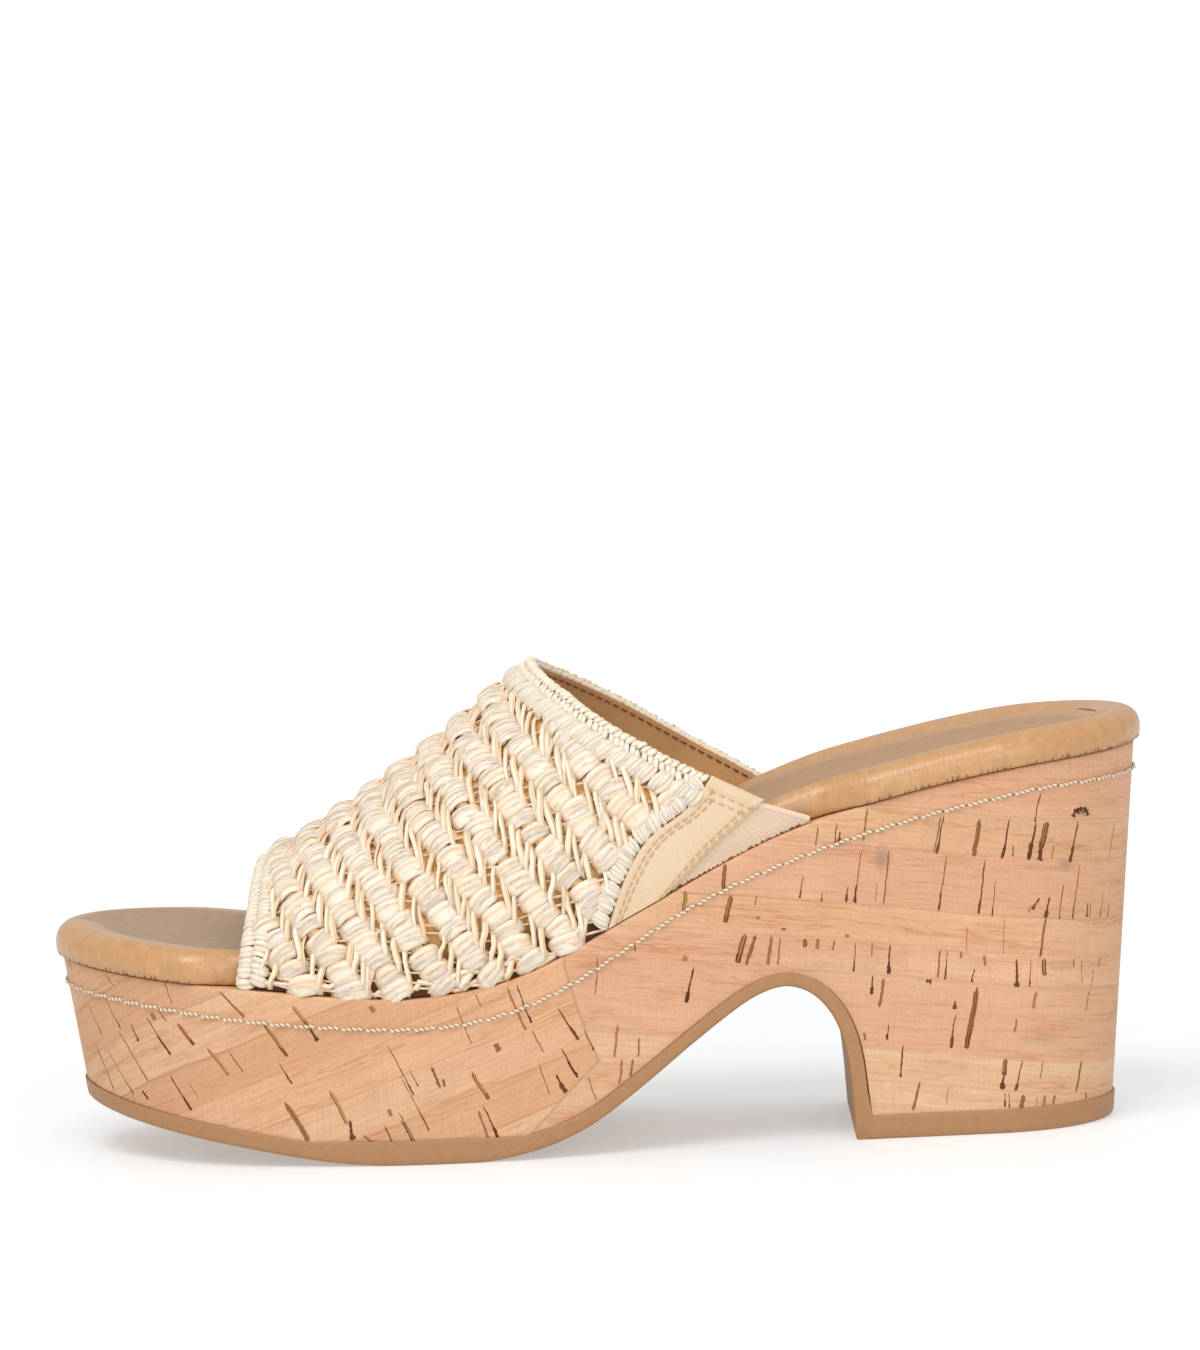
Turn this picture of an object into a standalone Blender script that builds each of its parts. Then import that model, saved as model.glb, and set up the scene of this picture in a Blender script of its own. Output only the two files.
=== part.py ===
"""Platform slide sandal with a woven vamp, a cork platform and a block heel: a left shoe.

The toe points along -X, the lateral side faces -Y, and the sole stands on z = 0.
Sizes are in millimetres, measured along the shoe from the back of the heel, and MM turns them
into Blender's metres.
"""
import math
from collections import namedtuple

import bmesh
import bpy
from mathutils import Vector

MM = 0.001
LATERAL, MEDIAL = -1, 1

# Overall sizes.
LENGTH = 247.0             # of the platform's rim, toe to heel
HEEL_ROUND = 34.0          # length over which the plan closes at the heel
TOE_ROUND = 48.0           # and at the toe
MIDDLE_SIDE = -1.8         # sideways middle of the whole shoe, brought to y = 0
GAP = 0.3                  # between pieces that meet

# The platform: plan, rim height and draft of the side at stations along the shoe.
Station = namedtuple("Station", "from_heel half_width centre rim draft")
STATIONS = (
    Station(0, 31.5, 0.0, 86.3, 5.0),
    Station(31, 32.2, 0.0, 83.2, 3.5),
    Station(63, 33.8, -0.3, 76.5, 3.5),
    Station(85, 36.0, -0.6, 69.6, 3.5),
    Station(116, 39.8, -1.3, 54.3, 3.5),
    Station(133, 42.0, -1.7, 45.5, 3.5),
    Station(147, 43.5, -2.0, 40.4, 4.0),
    Station(169, 45.0, -2.0, 37.9, 5.0),
    Station(206, 43.3, 0.5, 41.0, 6.5),
    Station(247, 41.0, 5.0, 44.6, 8.7),
)

# The outsole's underside from the toe to the foot of the heel breast, and the band's thickness.
Underside = namedtuple("Underside", "from_heel height band")
UNDERSIDE = (
    Underside(246, 12.9, 4.0),
    Underside(230, 9.0, 4.0),
    Underside(206, 4.5, 4.0),
    Underside(186, 1.0, 4.0),
    Underside(173, 0.0, 4.0),
    Underside(152, 0.0, 4.0),
    Underside(142, 1.5, 4.0),
    Underside(134, 3.8, 3.9),
    Underside(125.5, 7.9, 3.6),
    Underside(114.4, 15.8, 3.4),
    Underside(103, 24.7, 3.2),
    Underside(92, 32.6, 3.1),
    Underside(86, 35.5, 3.1),
    Underside(81, 36.1, 3.1),
    Underside(75.8, 33.8, 3.2),
    Underside(71.5, 28.5, 3.3),
    Underside(69, 21.0, 3.4),
    Underside(67.8, 11.2, 3.4),
    Underside(67.2, 0.0, 3.4),
)
HEEL_LIFT = 5.5            # thickness of the outsole under the heel
OUTSOLE_PROUD = 0.5        # of the cork above it

# The footbed's rolled edge, from its seat on the cork over the roll to the sock's recess.
# Where the upper passes, drawn is how far each part of the roll stands back to let it by.
# The foot's seat is dished, and dished is the share of the dish that each part takes.
Roll = namedtuple("Roll", "outward height drawn dished")
FOOTBED_ROLL = (
    Roll(-2.0, 0.3, 5.8, 0.0),
    Roll(0.4, 0.5, 5.8, 0.0),
    Roll(1.4, 1.8, 5.8, 0.0),
    Roll(1.5, 3.6, 5.8, 0.0),
    Roll(0.8, 5.6, 5.5, 0.0),
    Roll(-0.9, 7.2, 5.0, 0.0),
    Roll(-3.4, 7.9, 3.8, 0.0),
    Roll(-6.4, 7.8, 2.9, 0.25),
    Roll(-9.2, 7.5, 2.4, 0.6),
    Roll(-9.4, 4.6, 2.4, 0.6),
)
SOCK_EDGE = (
    Roll(-9.8, 4.9, 2.4, 0.6),
    Roll(-9.8, 7.0, 2.4, 0.6),
    Roll(-10.4, 7.4, 2.4, 0.6),
    Roll(-15.0, 7.35, 2.2, 0.9),
    Roll(-21.0, 7.3, 2.0, 1.0),
)
Dish = namedtuple("Dish", "from_heel depth")
DISH = (
    Dish(0, 2.3),
    Dish(60, 2.3),
    Dish(120, 1.4),
    Dish(180, 0.6),
    Dish(247, 0.3),
)
DRAWN_FRONT = 207.0        # the roll stands back from here to the rear ends of the upper
DRAWN_REAR = {LATERAL: 74.5, MEDIAL: 83.0}
DRAWN_FRONT_EASE = 5.0     # length over which the roll comes out again ahead of the upper
DRAWN_REAR_EASE = 15.0     # and behind it

# The upper follows the instep: crest height, its place to the side and the section's fullness.
Instep = namedtuple("Instep", "from_heel crest side fullness")
INSTEP = (
    Instep(75, 147.0, 4.0, 1.80),
    Instep(96, 137.0, 4.0, 1.85),
    Instep(116, 125.2, 4.0, 1.90),
    Instep(138.5, 108.2, 3.5, 2.00),
    Instep(161, 90.2, 3.0, 2.15),
    Instep(181, 76.2, 2.5, 2.35),
    Instep(197, 66.8, 2.0, 2.45),
    Instep(215, 56.0, 1.5, 2.50),
)
UPPER_INSET = 1.2          # of the upper's outer face from the rim
UPPER_SEAT = 0.4           # clearance above the rim

# The woven vamp: its wall, its raised strips and its hems.
VAMP_WALL = 1.8
STRIP_RISE = 1.8           # of a strip above the wall
STRIP_PITCH = 7.05         # between strips, along the crest
STRIP_START = 140.4        # where the strip next to the throat crosses the crest
STRIPS = range(-3, 11)
STRIP_RAKE_REAR = 0.82     # a strip runs back by this for each millimetre that it drops
STRIP_RAKE_FRONT = 0.66    # and the strip that crosses this far ahead of the first
STRIP_RAKE_SPAN = 56.0
Strip = namedtuple("Strip", "across rise")
STRIP_PROFILE = (
    Strip(-0.30, 0.0),
    Strip(-0.16, 0.72),
    Strip(0.0, 1.0),
    Strip(0.16, 0.72),
    Strip(0.30, 0.0),
)
HEM_RISE = 1.3
Hem = namedtuple("Hem", "inward rise")
HEM_PROFILE = (
    Hem(0.0, 0.35),
    Hem(1.2, 1.0),
    Hem(4.4, 1.0),
    Hem(6.0, 0.0),
)
Front = namedtuple("Front", "from_heel height")
FRONT_FOOT = Front(205.3, 40.8)        # the front edge seen from the side, at the rim
FRONT_HEAD = Front(201.2, 65.0)        # and at the crest

# Height of the throat line on each side.
Throat = namedtuple("Throat", "from_heel lateral medial")
THROAT = (
    Throat(75, 72.8, 69.4),
    Throat(85, 78.6, 76.8),
    Throat(99, 84.6, 85.2),
    Throat(117, 94.5, 96.4),
    Throat(128, 102.4, 103.2),
    Throat(134, 107.4, 107.4),
    Throat(138, 112.0, 112.0),
)

# The side tab's front and rear edge from the throat down to the rim.
Tab = namedtuple("Tab", "down front front_height rear rear_height")
TAB = (
    Tab(0.00, 97.4, 84.6, 85.6, 78.8),
    Tab(0.25, 103.5, 77.6, 91.5, 73.6),
    Tab(0.50, 112.6, 71.0, 97.6, 68.6),
    Tab(0.75, 118.0, 62.6, 103.0, 63.4),
    Tab(1.00, 122.2, 51.7, 108.4, 58.6),
)
TAB_OUT, TAB_IN = 0.6, 1.1           # the leather's faces either side of the upper's surface
GORE_OUT, GORE_IN = 0.2, 1.0         # and the elastic's
GORE_TIP = 75.6                      # where the gore runs out behind the tab
GORE_TIP_RISE = 1.2                  # and its height there

# Meshing.
RIM_POINTS = 96            # round the platform's plan
RIM_STEPS = 48             # along the rim's line seen from the side
PATH_STEPS = 4             # between two rows of the underside
TAB_STEPS = 8              # down the side tab's edges
TAB_ACROSS = 6             # across the tab
GORE_ACROSS = 8            # and across the gore
AROUND_STEPS = 22          # of the vamp's wall from the tab over the crest to the medial rim
SHARP_ANGLE = 40.0         # degrees between faces that keep a sharp edge
SLOPE_ALONG = 0.2          # half the length over which the upper's slope is taken
SLOPE_AROUND = 0.004       # and half the around value
SOLVE_TURNS = 40           # steps towards a place that is found by closing in on it
BLANK_FOOT, BLANK_HEAD = -6.0, 104.0   # heights of the platform before it is cut
BEYOND = 14.0              # cutters reach past the solid by this
SIDE_REACH = 70.0          # and past its middle, to each side


def hermite(keys, values, at):
    """Value at a key on a smooth curve through keyed values, straight beyond its ends."""
    last = len(keys) - 1
    slopes = []
    for k in range(last + 1):
        low, high = max(k - 1, 0), min(k + 1, last)
        slopes.append((values[high] - values[low]) / (keys[high] - keys[low]))
    if at <= keys[0]:
        return values[0] + slopes[0] * (at - keys[0])
    if at >= keys[last]:
        return values[last] + slopes[last] * (at - keys[last])
    k = next(i for i in range(last) if at <= keys[i + 1])
    span = keys[k + 1] - keys[k]
    t = (at - keys[k]) / span
    rise = t * t * (3 - 2 * t)
    lead = t * (1 - t) ** 2 * span
    trail = t * t * (t - 1) * span
    return values[k] * (1 - rise) + values[k + 1] * rise + slopes[k] * lead + slopes[k + 1] * trail


def smooth(rows, column, at):
    """One column of a table, read at a value of the table's first column."""
    keys = [row[0] for row in rows]
    return hermite(keys, [getattr(row, column) for row in rows], at)


def smooth_path(rows, steps):
    """Points on a smooth curve through a table's rows, keyed by the chord between them."""
    chord = [0.0]
    for a, b in zip(rows, rows[1:]):
        chord.append(chord[-1] + math.dist(a[:2], b[:2]))
    columns = list(zip(*rows))
    path = []
    for a, b in zip(chord, chord[1:]):
        for i in range(steps):
            at = a + (b - a) * i / steps
            path.append([hermite(chord, column, at) for column in columns])
    path.append(list(rows[-1]))
    return path


def spread(low, high, steps):
    """Even values from low to high."""
    return [low + (high - low) * i / steps for i in range(steps + 1)]


def point(from_heel, side, height):
    """A point of the shoe in metres."""
    return Vector((LENGTH / 2 - from_heel, side - MIDDLE_SIDE, height)) * MM


def rounding(t):
    """Quarter ellipse that closes the plan at its ends."""
    t = min(max(t, 0.0), 1.0)
    return math.sqrt(1 - (1 - t) ** 2)


def rim_side(from_heel, hand):
    """Sideways place of the rim on the lateral or medial hand."""
    half = smooth(STATIONS, "half_width", from_heel)
    half *= rounding(from_heel / HEEL_ROUND) * rounding((LENGTH - from_heel) / TOE_ROUND)
    return smooth(STATIONS, "centre", from_heel) + hand * half


def rim_height(from_heel):
    return smooth(STATIONS, "rim", from_heel)


RimPoint = namedtuple("RimPoint", "from_heel side out_along out_side hand")


def rim_loop():
    """Points round the rim with their outward normals, from the heel along the lateral side."""
    places = []
    for i in range(RIM_POINTS):
        turn = math.tau * i / RIM_POINTS
        hand = LATERAL if turn < math.pi else MEDIAL
        from_heel = LENGTH * (1 - math.cos(turn)) / 2
        places.append((from_heel, rim_side(from_heel, hand), hand))
    loop = []
    for i, (from_heel, side, hand) in enumerate(places):
        before, after = places[i - 1], places[(i + 1) % RIM_POINTS]
        along, across = after[0] - before[0], after[1] - before[1]
        size = math.hypot(along, across)
        loop.append(RimPoint(from_heel, side, across / size, -along / size, hand))
    return loop


def drawn_in(rim):
    """Share of the roll's standing back that applies at a rim point: 1 where the upper passes."""
    front = (DRAWN_FRONT + DRAWN_FRONT_EASE - rim.from_heel) / DRAWN_FRONT_EASE
    rear = (rim.from_heel - DRAWN_REAR[rim.hand] + DRAWN_REAR_EASE) / DRAWN_REAR_EASE
    t = min(max(min(front, rear), 0.0), 1.0)
    return t * t * (3 - 2 * t)


def new_object(name, mesh, collection):
    """Put a mesh in a collection with its faces pointing out and its round faces smooth."""
    shape = bmesh.new()
    shape.from_mesh(mesh)
    bmesh.ops.recalc_face_normals(shape, faces=shape.faces)
    shape.to_mesh(mesh)
    shape.free()
    mesh.shade_smooth()
    mesh.set_sharp_from_angle(angle=math.radians(SHARP_ANGLE))
    made = bpy.data.objects.new(name, mesh)
    collection.objects.link(made)
    return made


def mesh_from(name, corners, faces):
    mesh = bpy.data.meshes.new(name)
    mesh.from_pydata(corners, [], faces)
    return mesh


def stacked_loops(name, loops, collection):
    """Solid through closed loops of one count, its ends filled from side to side."""
    count = len(loops[0])
    corners = [corner for loop in loops for corner in loop]
    faces = []
    for level in range(len(loops) - 1):
        low, high = level * count, (level + 1) * count
        for i in range(count):
            j = (i + 1) % count
            faces.append((low + i, low + j, high + j, high + i))
    for base in (0, (len(loops) - 1) * count):
        for i in range(count // 2):
            strip = [base + i, base + i + 1, base + (count - i - 1) % count, base + (count - i) % count]
            faces.append(tuple(dict.fromkeys(strip)))
    return new_object(name, mesh_from(name, corners, faces), collection)


def two_faced_wall(name, outer, inner, collection):
    """Wall between two grids of points of one shape, closed along its four edges.

    Grid points that coincide become one corner, so grid lines may run into each other.
    """
    rows, columns = len(outer), len(outer[0])
    corners, index = [], {}
    for face, grid in enumerate((outer, inner)):
        for i, row in enumerate(grid):
            for j, corner in enumerate(row):
                key = (face, *(round(value / MM, 3) for value in corner))
                if key not in index:
                    index[key] = len(corners)
                    corners.append(corner)
                index[face, i, j] = index[key]
    faces = []

    def add(ring):
        ring = list(dict.fromkeys(index[place] for place in ring))
        if len(ring) > 2:
            faces.append(ring)

    for i in range(rows - 1):
        for j in range(columns - 1):
            ring = [(i, j), (i + 1, j), (i + 1, j + 1), (i, j + 1)]
            add([(0, *place) for place in ring[::-1]])
            add([(1, *place) for place in ring])
    border = [(i, 0) for i in range(rows)]
    border += [(rows - 1, j) for j in range(1, columns)]
    border += [(i, columns - 1) for i in range(rows - 2, -1, -1)]
    border += [(0, j) for j in range(columns - 2, 0, -1)]
    for a, b in zip(border, border[1:] + border[:1]):
        add([(0, *a), (0, *b), (1, *b), (1, *a)])
    return new_object(name, mesh_from(name, corners, faces), collection)


def side_prism(name, outline, near, far, collection):
    """Prism across the shoe with an outline drawn from the side."""
    shape = bmesh.new()
    flat = [shape.verts.new(point(from_heel, near, height)) for from_heel, height in outline]
    face = shape.faces.new(flat)
    grown = bmesh.ops.extrude_face_region(shape, geom=[face])
    moved = [item for item in grown["geom"] if isinstance(item, bmesh.types.BMVert)]
    bmesh.ops.translate(shape, verts=moved, vec=Vector((0, far - near, 0)) * MM)
    mesh = bpy.data.meshes.new(name)
    shape.to_mesh(mesh)
    shape.free()
    cutter = new_object(name, mesh, collection)
    return hidden(cutter)


def hidden(guide):
    guide.hide_render = True
    guide.display_type = "WIRE"
    return guide


def boolean(target, operation, tool):
    modifier = target.modifiers.new(tool.name, "BOOLEAN")
    modifier.operation = operation
    modifier.solver = "EXACT"
    modifier.object = tool


def finish(part, colour, roughness):
    """Give a part its own material."""
    material = bpy.data.materials.new(part.name)
    material.use_nodes = True
    shader = material.node_tree.nodes["Principled BSDF"]
    shader.inputs["Base Color"].default_value = (*colour, 1)
    shader.inputs["Roughness"].default_value = roughness
    shader.inputs["Metallic"].default_value = 0.0
    part.data.materials.append(material)


def platform_blank(name, proud, collection):
    """The platform's tapered side, before its rim and underside are cut."""
    loops = []
    for height in (BLANK_FOOT, BLANK_HEAD):
        loop = []
        for rim in rim_loop():
            slope = math.tan(math.radians(smooth(STATIONS, "draft", rim.from_heel)))
            out = proud - slope * (rim_height(rim.from_heel) - height)
            loop.append(point(rim.from_heel + rim.out_along * out, rim.side + rim.out_side * out, height))
        loops.append(loop)
    return stacked_loops(name, loops, collection)


def underside(lift):
    """The outsole's underside, or with a lift the line that lies that far above the band."""
    path = smooth_path(UNDERSIDE, PATH_STEPS)
    if lift is None:
        return [(from_heel, max(height, 0.0)) for from_heel, height, _ in path]
    raised = []
    for i, (from_heel, height, band) in enumerate(path):
        before, after = path[max(i - 1, 0)], path[min(i + 1, len(path) - 1)]
        along, up = after[0] - before[0], after[1] - before[1]
        size = math.hypot(along, up)
        reach = band + lift
        raised.append((from_heel + up / size * reach, max(height, 0.0) - along / size * reach))
    top = HEEL_LIFT + lift
    above = [place for place in raised if place[1] > top or place[0] > UNDERSIDE[-1].from_heel + BEYOND]
    return above + [(above[-1][0], top)]


def outsole(parts, cutters):
    band = underside(None) + [(-BEYOND, 0.0), (-BEYOND, HEEL_LIFT)] + underside(0.0)[::-1]
    sole = platform_blank("outsole", OUTSOLE_PROUD, parts)
    boolean(sole, "INTERSECT", side_prism("outsole_band", band, -SIDE_REACH, SIDE_REACH, cutters))
    finish(sole, (0.48, 0.25, 0.11), 0.62)


def cork_platform(parts, cutters):
    rim = [(from_heel, rim_height(from_heel)) for from_heel in spread(-BEYOND, LENGTH + BEYOND, RIM_STEPS)]
    profile = rim + underside(GAP) + [(-BEYOND, HEEL_LIFT + GAP)]
    block = platform_blank("cork_platform", 0.0, parts)
    boolean(block, "INTERSECT", side_prism("platform_profile", profile, -SIDE_REACH, SIDE_REACH, cutters))
    finish(block, (0.76, 0.45, 0.24), 0.70)


def rolled_pad(name, rows, parts):
    """Pad on the cork whose edge follows a roll profile round the rim."""
    loops = []
    for row in rows:
        loop = []
        for rim in rim_loop():
            out = row.outward - row.drawn * drawn_in(rim)
            from_heel = rim.from_heel + rim.out_along * out
            height = rim_height(from_heel) + row.height - row.dished * smooth(DISH, "depth", from_heel)
            loop.append(point(from_heel, rim.side + rim.out_side * out, height))
        loops.append(loop)
    return stacked_loops(name, loops, parts)


def footbed(parts):
    finish(rolled_pad("footbed", FOOTBED_ROLL, parts), (0.58, 0.33, 0.14), 0.45)


def sock_lining(parts):
    finish(rolled_pad("sock_lining", SOCK_EDGE, parts), (0.39, 0.28, 0.18), 0.75)


def upper_place(from_heel, around):
    """Place on the upper's surface; around runs from the lateral rim at -1 over the crest to 1."""
    base = rim_height(from_heel) + UPPER_SEAT
    crest = smooth(INSTEP, "crest", from_heel)
    middle = smooth(INSTEP, "side", from_heel)
    hand = LATERAL if around < 0 else MEDIAL
    edge = rim_side(from_heel, hand) - hand * UPPER_INSET
    power = 2 / smooth(INSTEP, "fullness", from_heel)
    turn = min(abs(around), 1.0) * math.pi / 2
    side = middle + (edge - middle) * math.sin(turn) ** power
    height = base + (crest - base) * max(math.cos(turn), 0.0) ** power
    return Vector((from_heel, side, height))


def upper_out(from_heel, around):
    """Outward normal of the upper's surface, in the shoe's own sizes."""
    low, high = max(around - SLOPE_AROUND, -1.0), min(around + SLOPE_AROUND, 1.0)
    along = upper_place(from_heel + SLOPE_ALONG, around) - upper_place(from_heel - SLOPE_ALONG, around)
    across = upper_place(from_heel, high) - upper_place(from_heel, low)
    return along.cross(across).normalized()


def upper_point(from_heel, around, out):
    return point(*(upper_place(from_heel, around) + upper_out(from_heel, around) * out))


def around_at(from_heel, height, hand):
    """The around value at which the upper has a height, on one side."""
    low, high = 0.0, 1.0
    for _ in range(SOLVE_TURNS):
        middle = (low + high) / 2
        if upper_place(from_heel, hand * middle).z > height:
            low = middle
        else:
            high = middle
    return hand * (low + high) / 2


def strip_at(crossing, around):
    """From-heel place at which the strip line that crosses the crest at one place reaches around."""
    forward = (crossing - STRIP_START) / STRIP_RAKE_SPAN
    rake = STRIP_RAKE_REAR + (STRIP_RAKE_FRONT - STRIP_RAKE_REAR) * forward
    crest = smooth(INSTEP, "crest", crossing)
    from_heel = crossing
    for _ in range(SOLVE_TURNS):
        from_heel = crossing - rake * (crest - upper_place(from_heel, around).z)
    return from_heel


def front_line(height):
    """From-heel place of the vamp's front edge at a height."""
    rise = (height - FRONT_FOOT.height) / (FRONT_HEAD.height - FRONT_FOOT.height)
    return FRONT_FOOT.from_heel + (FRONT_HEAD.from_heel - FRONT_FOOT.from_heel) * rise


def throat_at(around):
    """From-heel place of the throat line at an around value."""
    column = "lateral" if around < 0 else "medial"
    low, high = GORE_TIP, THROAT[-1].from_heel + BEYOND
    for _ in range(SOLVE_TURNS):
        middle = (low + high) / 2
        if upper_place(middle, around).z > smooth(THROAT, column, middle):
            low = middle
        else:
            high = middle
    return (low + high) / 2


def front_at(around):
    """From-heel place of the front edge at an around value."""
    from_heel = FRONT_FOOT.from_heel
    for _ in range(SOLVE_TURNS):
        from_heel = front_line(upper_place(from_heel, around).z)
    return from_heel


def tab_edge(down, edge):
    """Place of the tab's front or rear edge, seen from the side."""
    return smooth(TAB, edge, down), smooth(TAB, edge + "_height", down)


def side_around(from_heel, height, down):
    """The around value of a place on the lateral side; the way down ends on the rim."""
    return -1.0 if down == 1 else around_at(from_heel, height, LATERAL)


def vamp_line(around, rear, hemmed):
    """The vamp's wall from its front edge back, at one place around: places and their rise.

    Strips that would lie beyond a hem end at its inner line. Along the tab there is no hem.
    """
    front = front_at(around)
    width = HEM_PROFILE[-1].inward
    first, last = front - width, rear + width * hemmed
    line = [(front - row.inward, row.rise * HEM_RISE) for row in HEM_PROFILE]
    for strip in reversed(STRIPS):
        for row in reversed(STRIP_PROFILE):
            place = strip_at(STRIP_START + STRIP_PITCH * (strip + row.across), around)
            inside = last < place < first
            line.append((min(max(place, last), first), row.rise * STRIP_RISE * inside))
    line += [(rear + row.inward * hemmed, row.rise * HEM_RISE * hemmed) for row in reversed(HEM_PROFILE)]
    return line


def vamp(parts):
    """One wall with its strips and hems raised, from the tab over the crest to the medial rim."""
    lines = []
    for down in spread(1, 0, TAB_STEPS):
        rear, height = tab_edge(down, "front")
        around = side_around(rear, height, down)
        lines.append((around, vamp_line(around, rear, 0)))
    corner = lines[-1][0]
    for around in spread(corner, 1, AROUND_STEPS)[1:]:
        lines.append((around, vamp_line(around, throat_at(around), 1)))
    outer, inner = [], []
    for around, line in lines:
        outer.append([upper_point(from_heel, around, rise) for from_heel, rise in line])
        inner.append([upper_point(from_heel, around, -VAMP_WALL) for from_heel, _ in line])
    finish(two_faced_wall("vamp", outer, inner, parts), (0.85, 0.74, 0.56), 0.65)


def side_patch(name, front, rear, steps, out, inset, parts):
    """Sheet on the upper's lateral side between two edges given as functions of the way down."""
    outer, inner = [], []
    for down in spread(0, 1, TAB_STEPS):
        (a, a_height), (b, b_height) = front(down), rear(down)
        line = []
        for across in spread(0, 1, steps):
            from_heel = a + (b - a) * across
            height = a_height + (b_height - a_height) * across
            line.append((from_heel, side_around(from_heel, height, down)))
        outer.append([upper_point(*place, out) for place in line])
        inner.append([upper_point(*place, -inset) for place in line])
    return two_faced_wall(name, outer, inner, parts)


def side_tab(parts):
    def front(down):
        from_heel, height = tab_edge(down, "front")
        return from_heel - GAP, height

    def rear(down):
        return tab_edge(down, "rear")

    tab = side_patch("side_tab", front, rear, TAB_ACROSS, TAB_OUT, TAB_IN, parts)
    finish(tab, (0.84, 0.67, 0.44), 0.50)


def elastic_gore(parts):
    def front(down):
        from_heel, height = tab_edge(down, "rear")
        return from_heel - GAP, height - GAP

    def tip(down):
        return GORE_TIP, rim_height(GORE_TIP) + UPPER_SEAT + GORE_TIP_RISE * (1 - down)

    gore = side_patch("elastic_gore", front, tip, GORE_ACROSS, GORE_OUT, GORE_IN, parts)
    finish(gore, (0.80, 0.66, 0.50), 0.80)


def main():
    for old in list(bpy.data.objects):
        bpy.data.objects.remove(old)
    parts = bpy.data.collections.new("platform_slide_sandal")
    cutters = bpy.data.collections.new("cutters")
    for collection in (parts, cutters):
        bpy.context.scene.collection.children.link(collection)
    outsole(parts, cutters)
    cork_platform(parts, cutters)
    footbed(parts)
    sock_lining(parts)
    vamp(parts)
    side_tab(parts)
    elastic_gore(parts)


main()
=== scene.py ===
"""Looks of a platform slide sandal, a left shoe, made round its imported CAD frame.

Shapes follow the solids' own tables and functions. Sizes are in millimetres: along the shoe from
the back of the heel, sideways from its middle line, and up. to_world() turns them into metres.
"""
import math
from types import SimpleNamespace

import bmesh
import bpy
import numpy as np
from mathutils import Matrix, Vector


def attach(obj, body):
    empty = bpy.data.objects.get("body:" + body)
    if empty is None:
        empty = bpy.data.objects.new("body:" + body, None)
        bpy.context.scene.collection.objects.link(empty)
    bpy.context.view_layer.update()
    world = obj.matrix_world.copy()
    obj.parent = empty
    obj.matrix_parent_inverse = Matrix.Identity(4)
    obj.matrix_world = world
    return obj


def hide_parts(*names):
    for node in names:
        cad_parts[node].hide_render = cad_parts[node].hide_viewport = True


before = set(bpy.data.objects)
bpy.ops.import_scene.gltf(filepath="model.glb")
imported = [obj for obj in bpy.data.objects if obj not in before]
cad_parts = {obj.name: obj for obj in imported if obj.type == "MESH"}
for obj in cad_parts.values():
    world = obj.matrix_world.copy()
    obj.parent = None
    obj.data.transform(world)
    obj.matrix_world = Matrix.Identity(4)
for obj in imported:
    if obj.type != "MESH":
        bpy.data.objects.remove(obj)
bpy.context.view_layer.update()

MM = 0.001
LATERAL, MEDIAL = -1, 1
UP = np.array([0.0, 0.0, 1.0])


def columns(names, *rows):
    """A short table as one array for each named column."""
    return dict(zip(names.split(), np.array(rows, float).T))


# Sizes that repeat the solids' own.
LENGTH = 247.0
HEEL_ROUND = 34.0
TOE_ROUND = 48.0
MIDDLE_SIDE = -1.8
GAP = 0.3
STATIONS = columns(
    "from_heel half_width centre rim draft",
    (0, 31.5, 0.0, 86.3, 5.0),
    (31, 32.2, 0.0, 83.2, 3.5),
    (63, 33.8, -0.3, 76.5, 3.5),
    (85, 36.0, -0.6, 69.6, 3.5),
    (116, 39.8, -1.3, 54.3, 3.5),
    (133, 42.0, -1.7, 45.5, 3.5),
    (147, 43.5, -2.0, 40.4, 4.0),
    (169, 45.0, -2.0, 37.9, 5.0),
    (206, 43.3, 0.5, 41.0, 6.5),
    (247, 41.0, 5.0, 44.6, 8.7),
)
UNDERSIDE = columns(
    "from_heel height band",
    (246, 12.9, 4.0),
    (230, 9.0, 4.0),
    (206, 4.5, 4.0),
    (186, 1.0, 4.0),
    (173, 0.0, 4.0),
    (152, 0.0, 4.0),
    (142, 1.5, 4.0),
    (134, 3.8, 3.9),
    (125.5, 7.9, 3.6),
    (114.4, 15.8, 3.4),
    (103, 24.7, 3.2),
    (92, 32.6, 3.1),
    (86, 35.5, 3.1),
    (81, 36.1, 3.1),
    (75.8, 33.8, 3.2),
    (71.5, 28.5, 3.3),
    (69, 21.0, 3.4),
    (67.8, 11.2, 3.4),
    (67.2, 0.0, 3.4),
)
HEEL_LIFT = 5.5
OUTSOLE_PROUD = 0.5
# The cushion's skin from its seat on the cork over the roll to the foot's seat.
CUSHION = columns(
    "outward height drawn dished",
    (-2.0, 0.3, 5.8, 0.0),
    (0.9, 0.35, 5.8, 0.0),
    (1.4, 1.5, 5.8, 0.0),
    (1.5, 3.6, 5.8, 0.0),
    (0.8, 5.6, 5.5, 0.0),
    (-0.9, 7.2, 5.0, 0.0),
    (-3.4, 7.9, 3.8, 0.0),
    (-6.4, 7.8, 2.9, 0.25),
    (-9.8, 7.5, 2.4, 0.6),
    (-15.0, 7.35, 2.2, 0.9),
    (-21.0, 7.3, 2.0, 1.0),
)
DISH = columns("from_heel depth", (0, 2.3), (60, 2.3), (120, 1.4), (180, 0.6), (247, 0.3))
DRAWN_FRONT = 205.5
DRAWN_REAR = {LATERAL: 74.5, MEDIAL: 83.0}
DRAWN_FRONT_EASE = 13.0
DRAWN_REAR_EASE = 15.0
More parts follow.
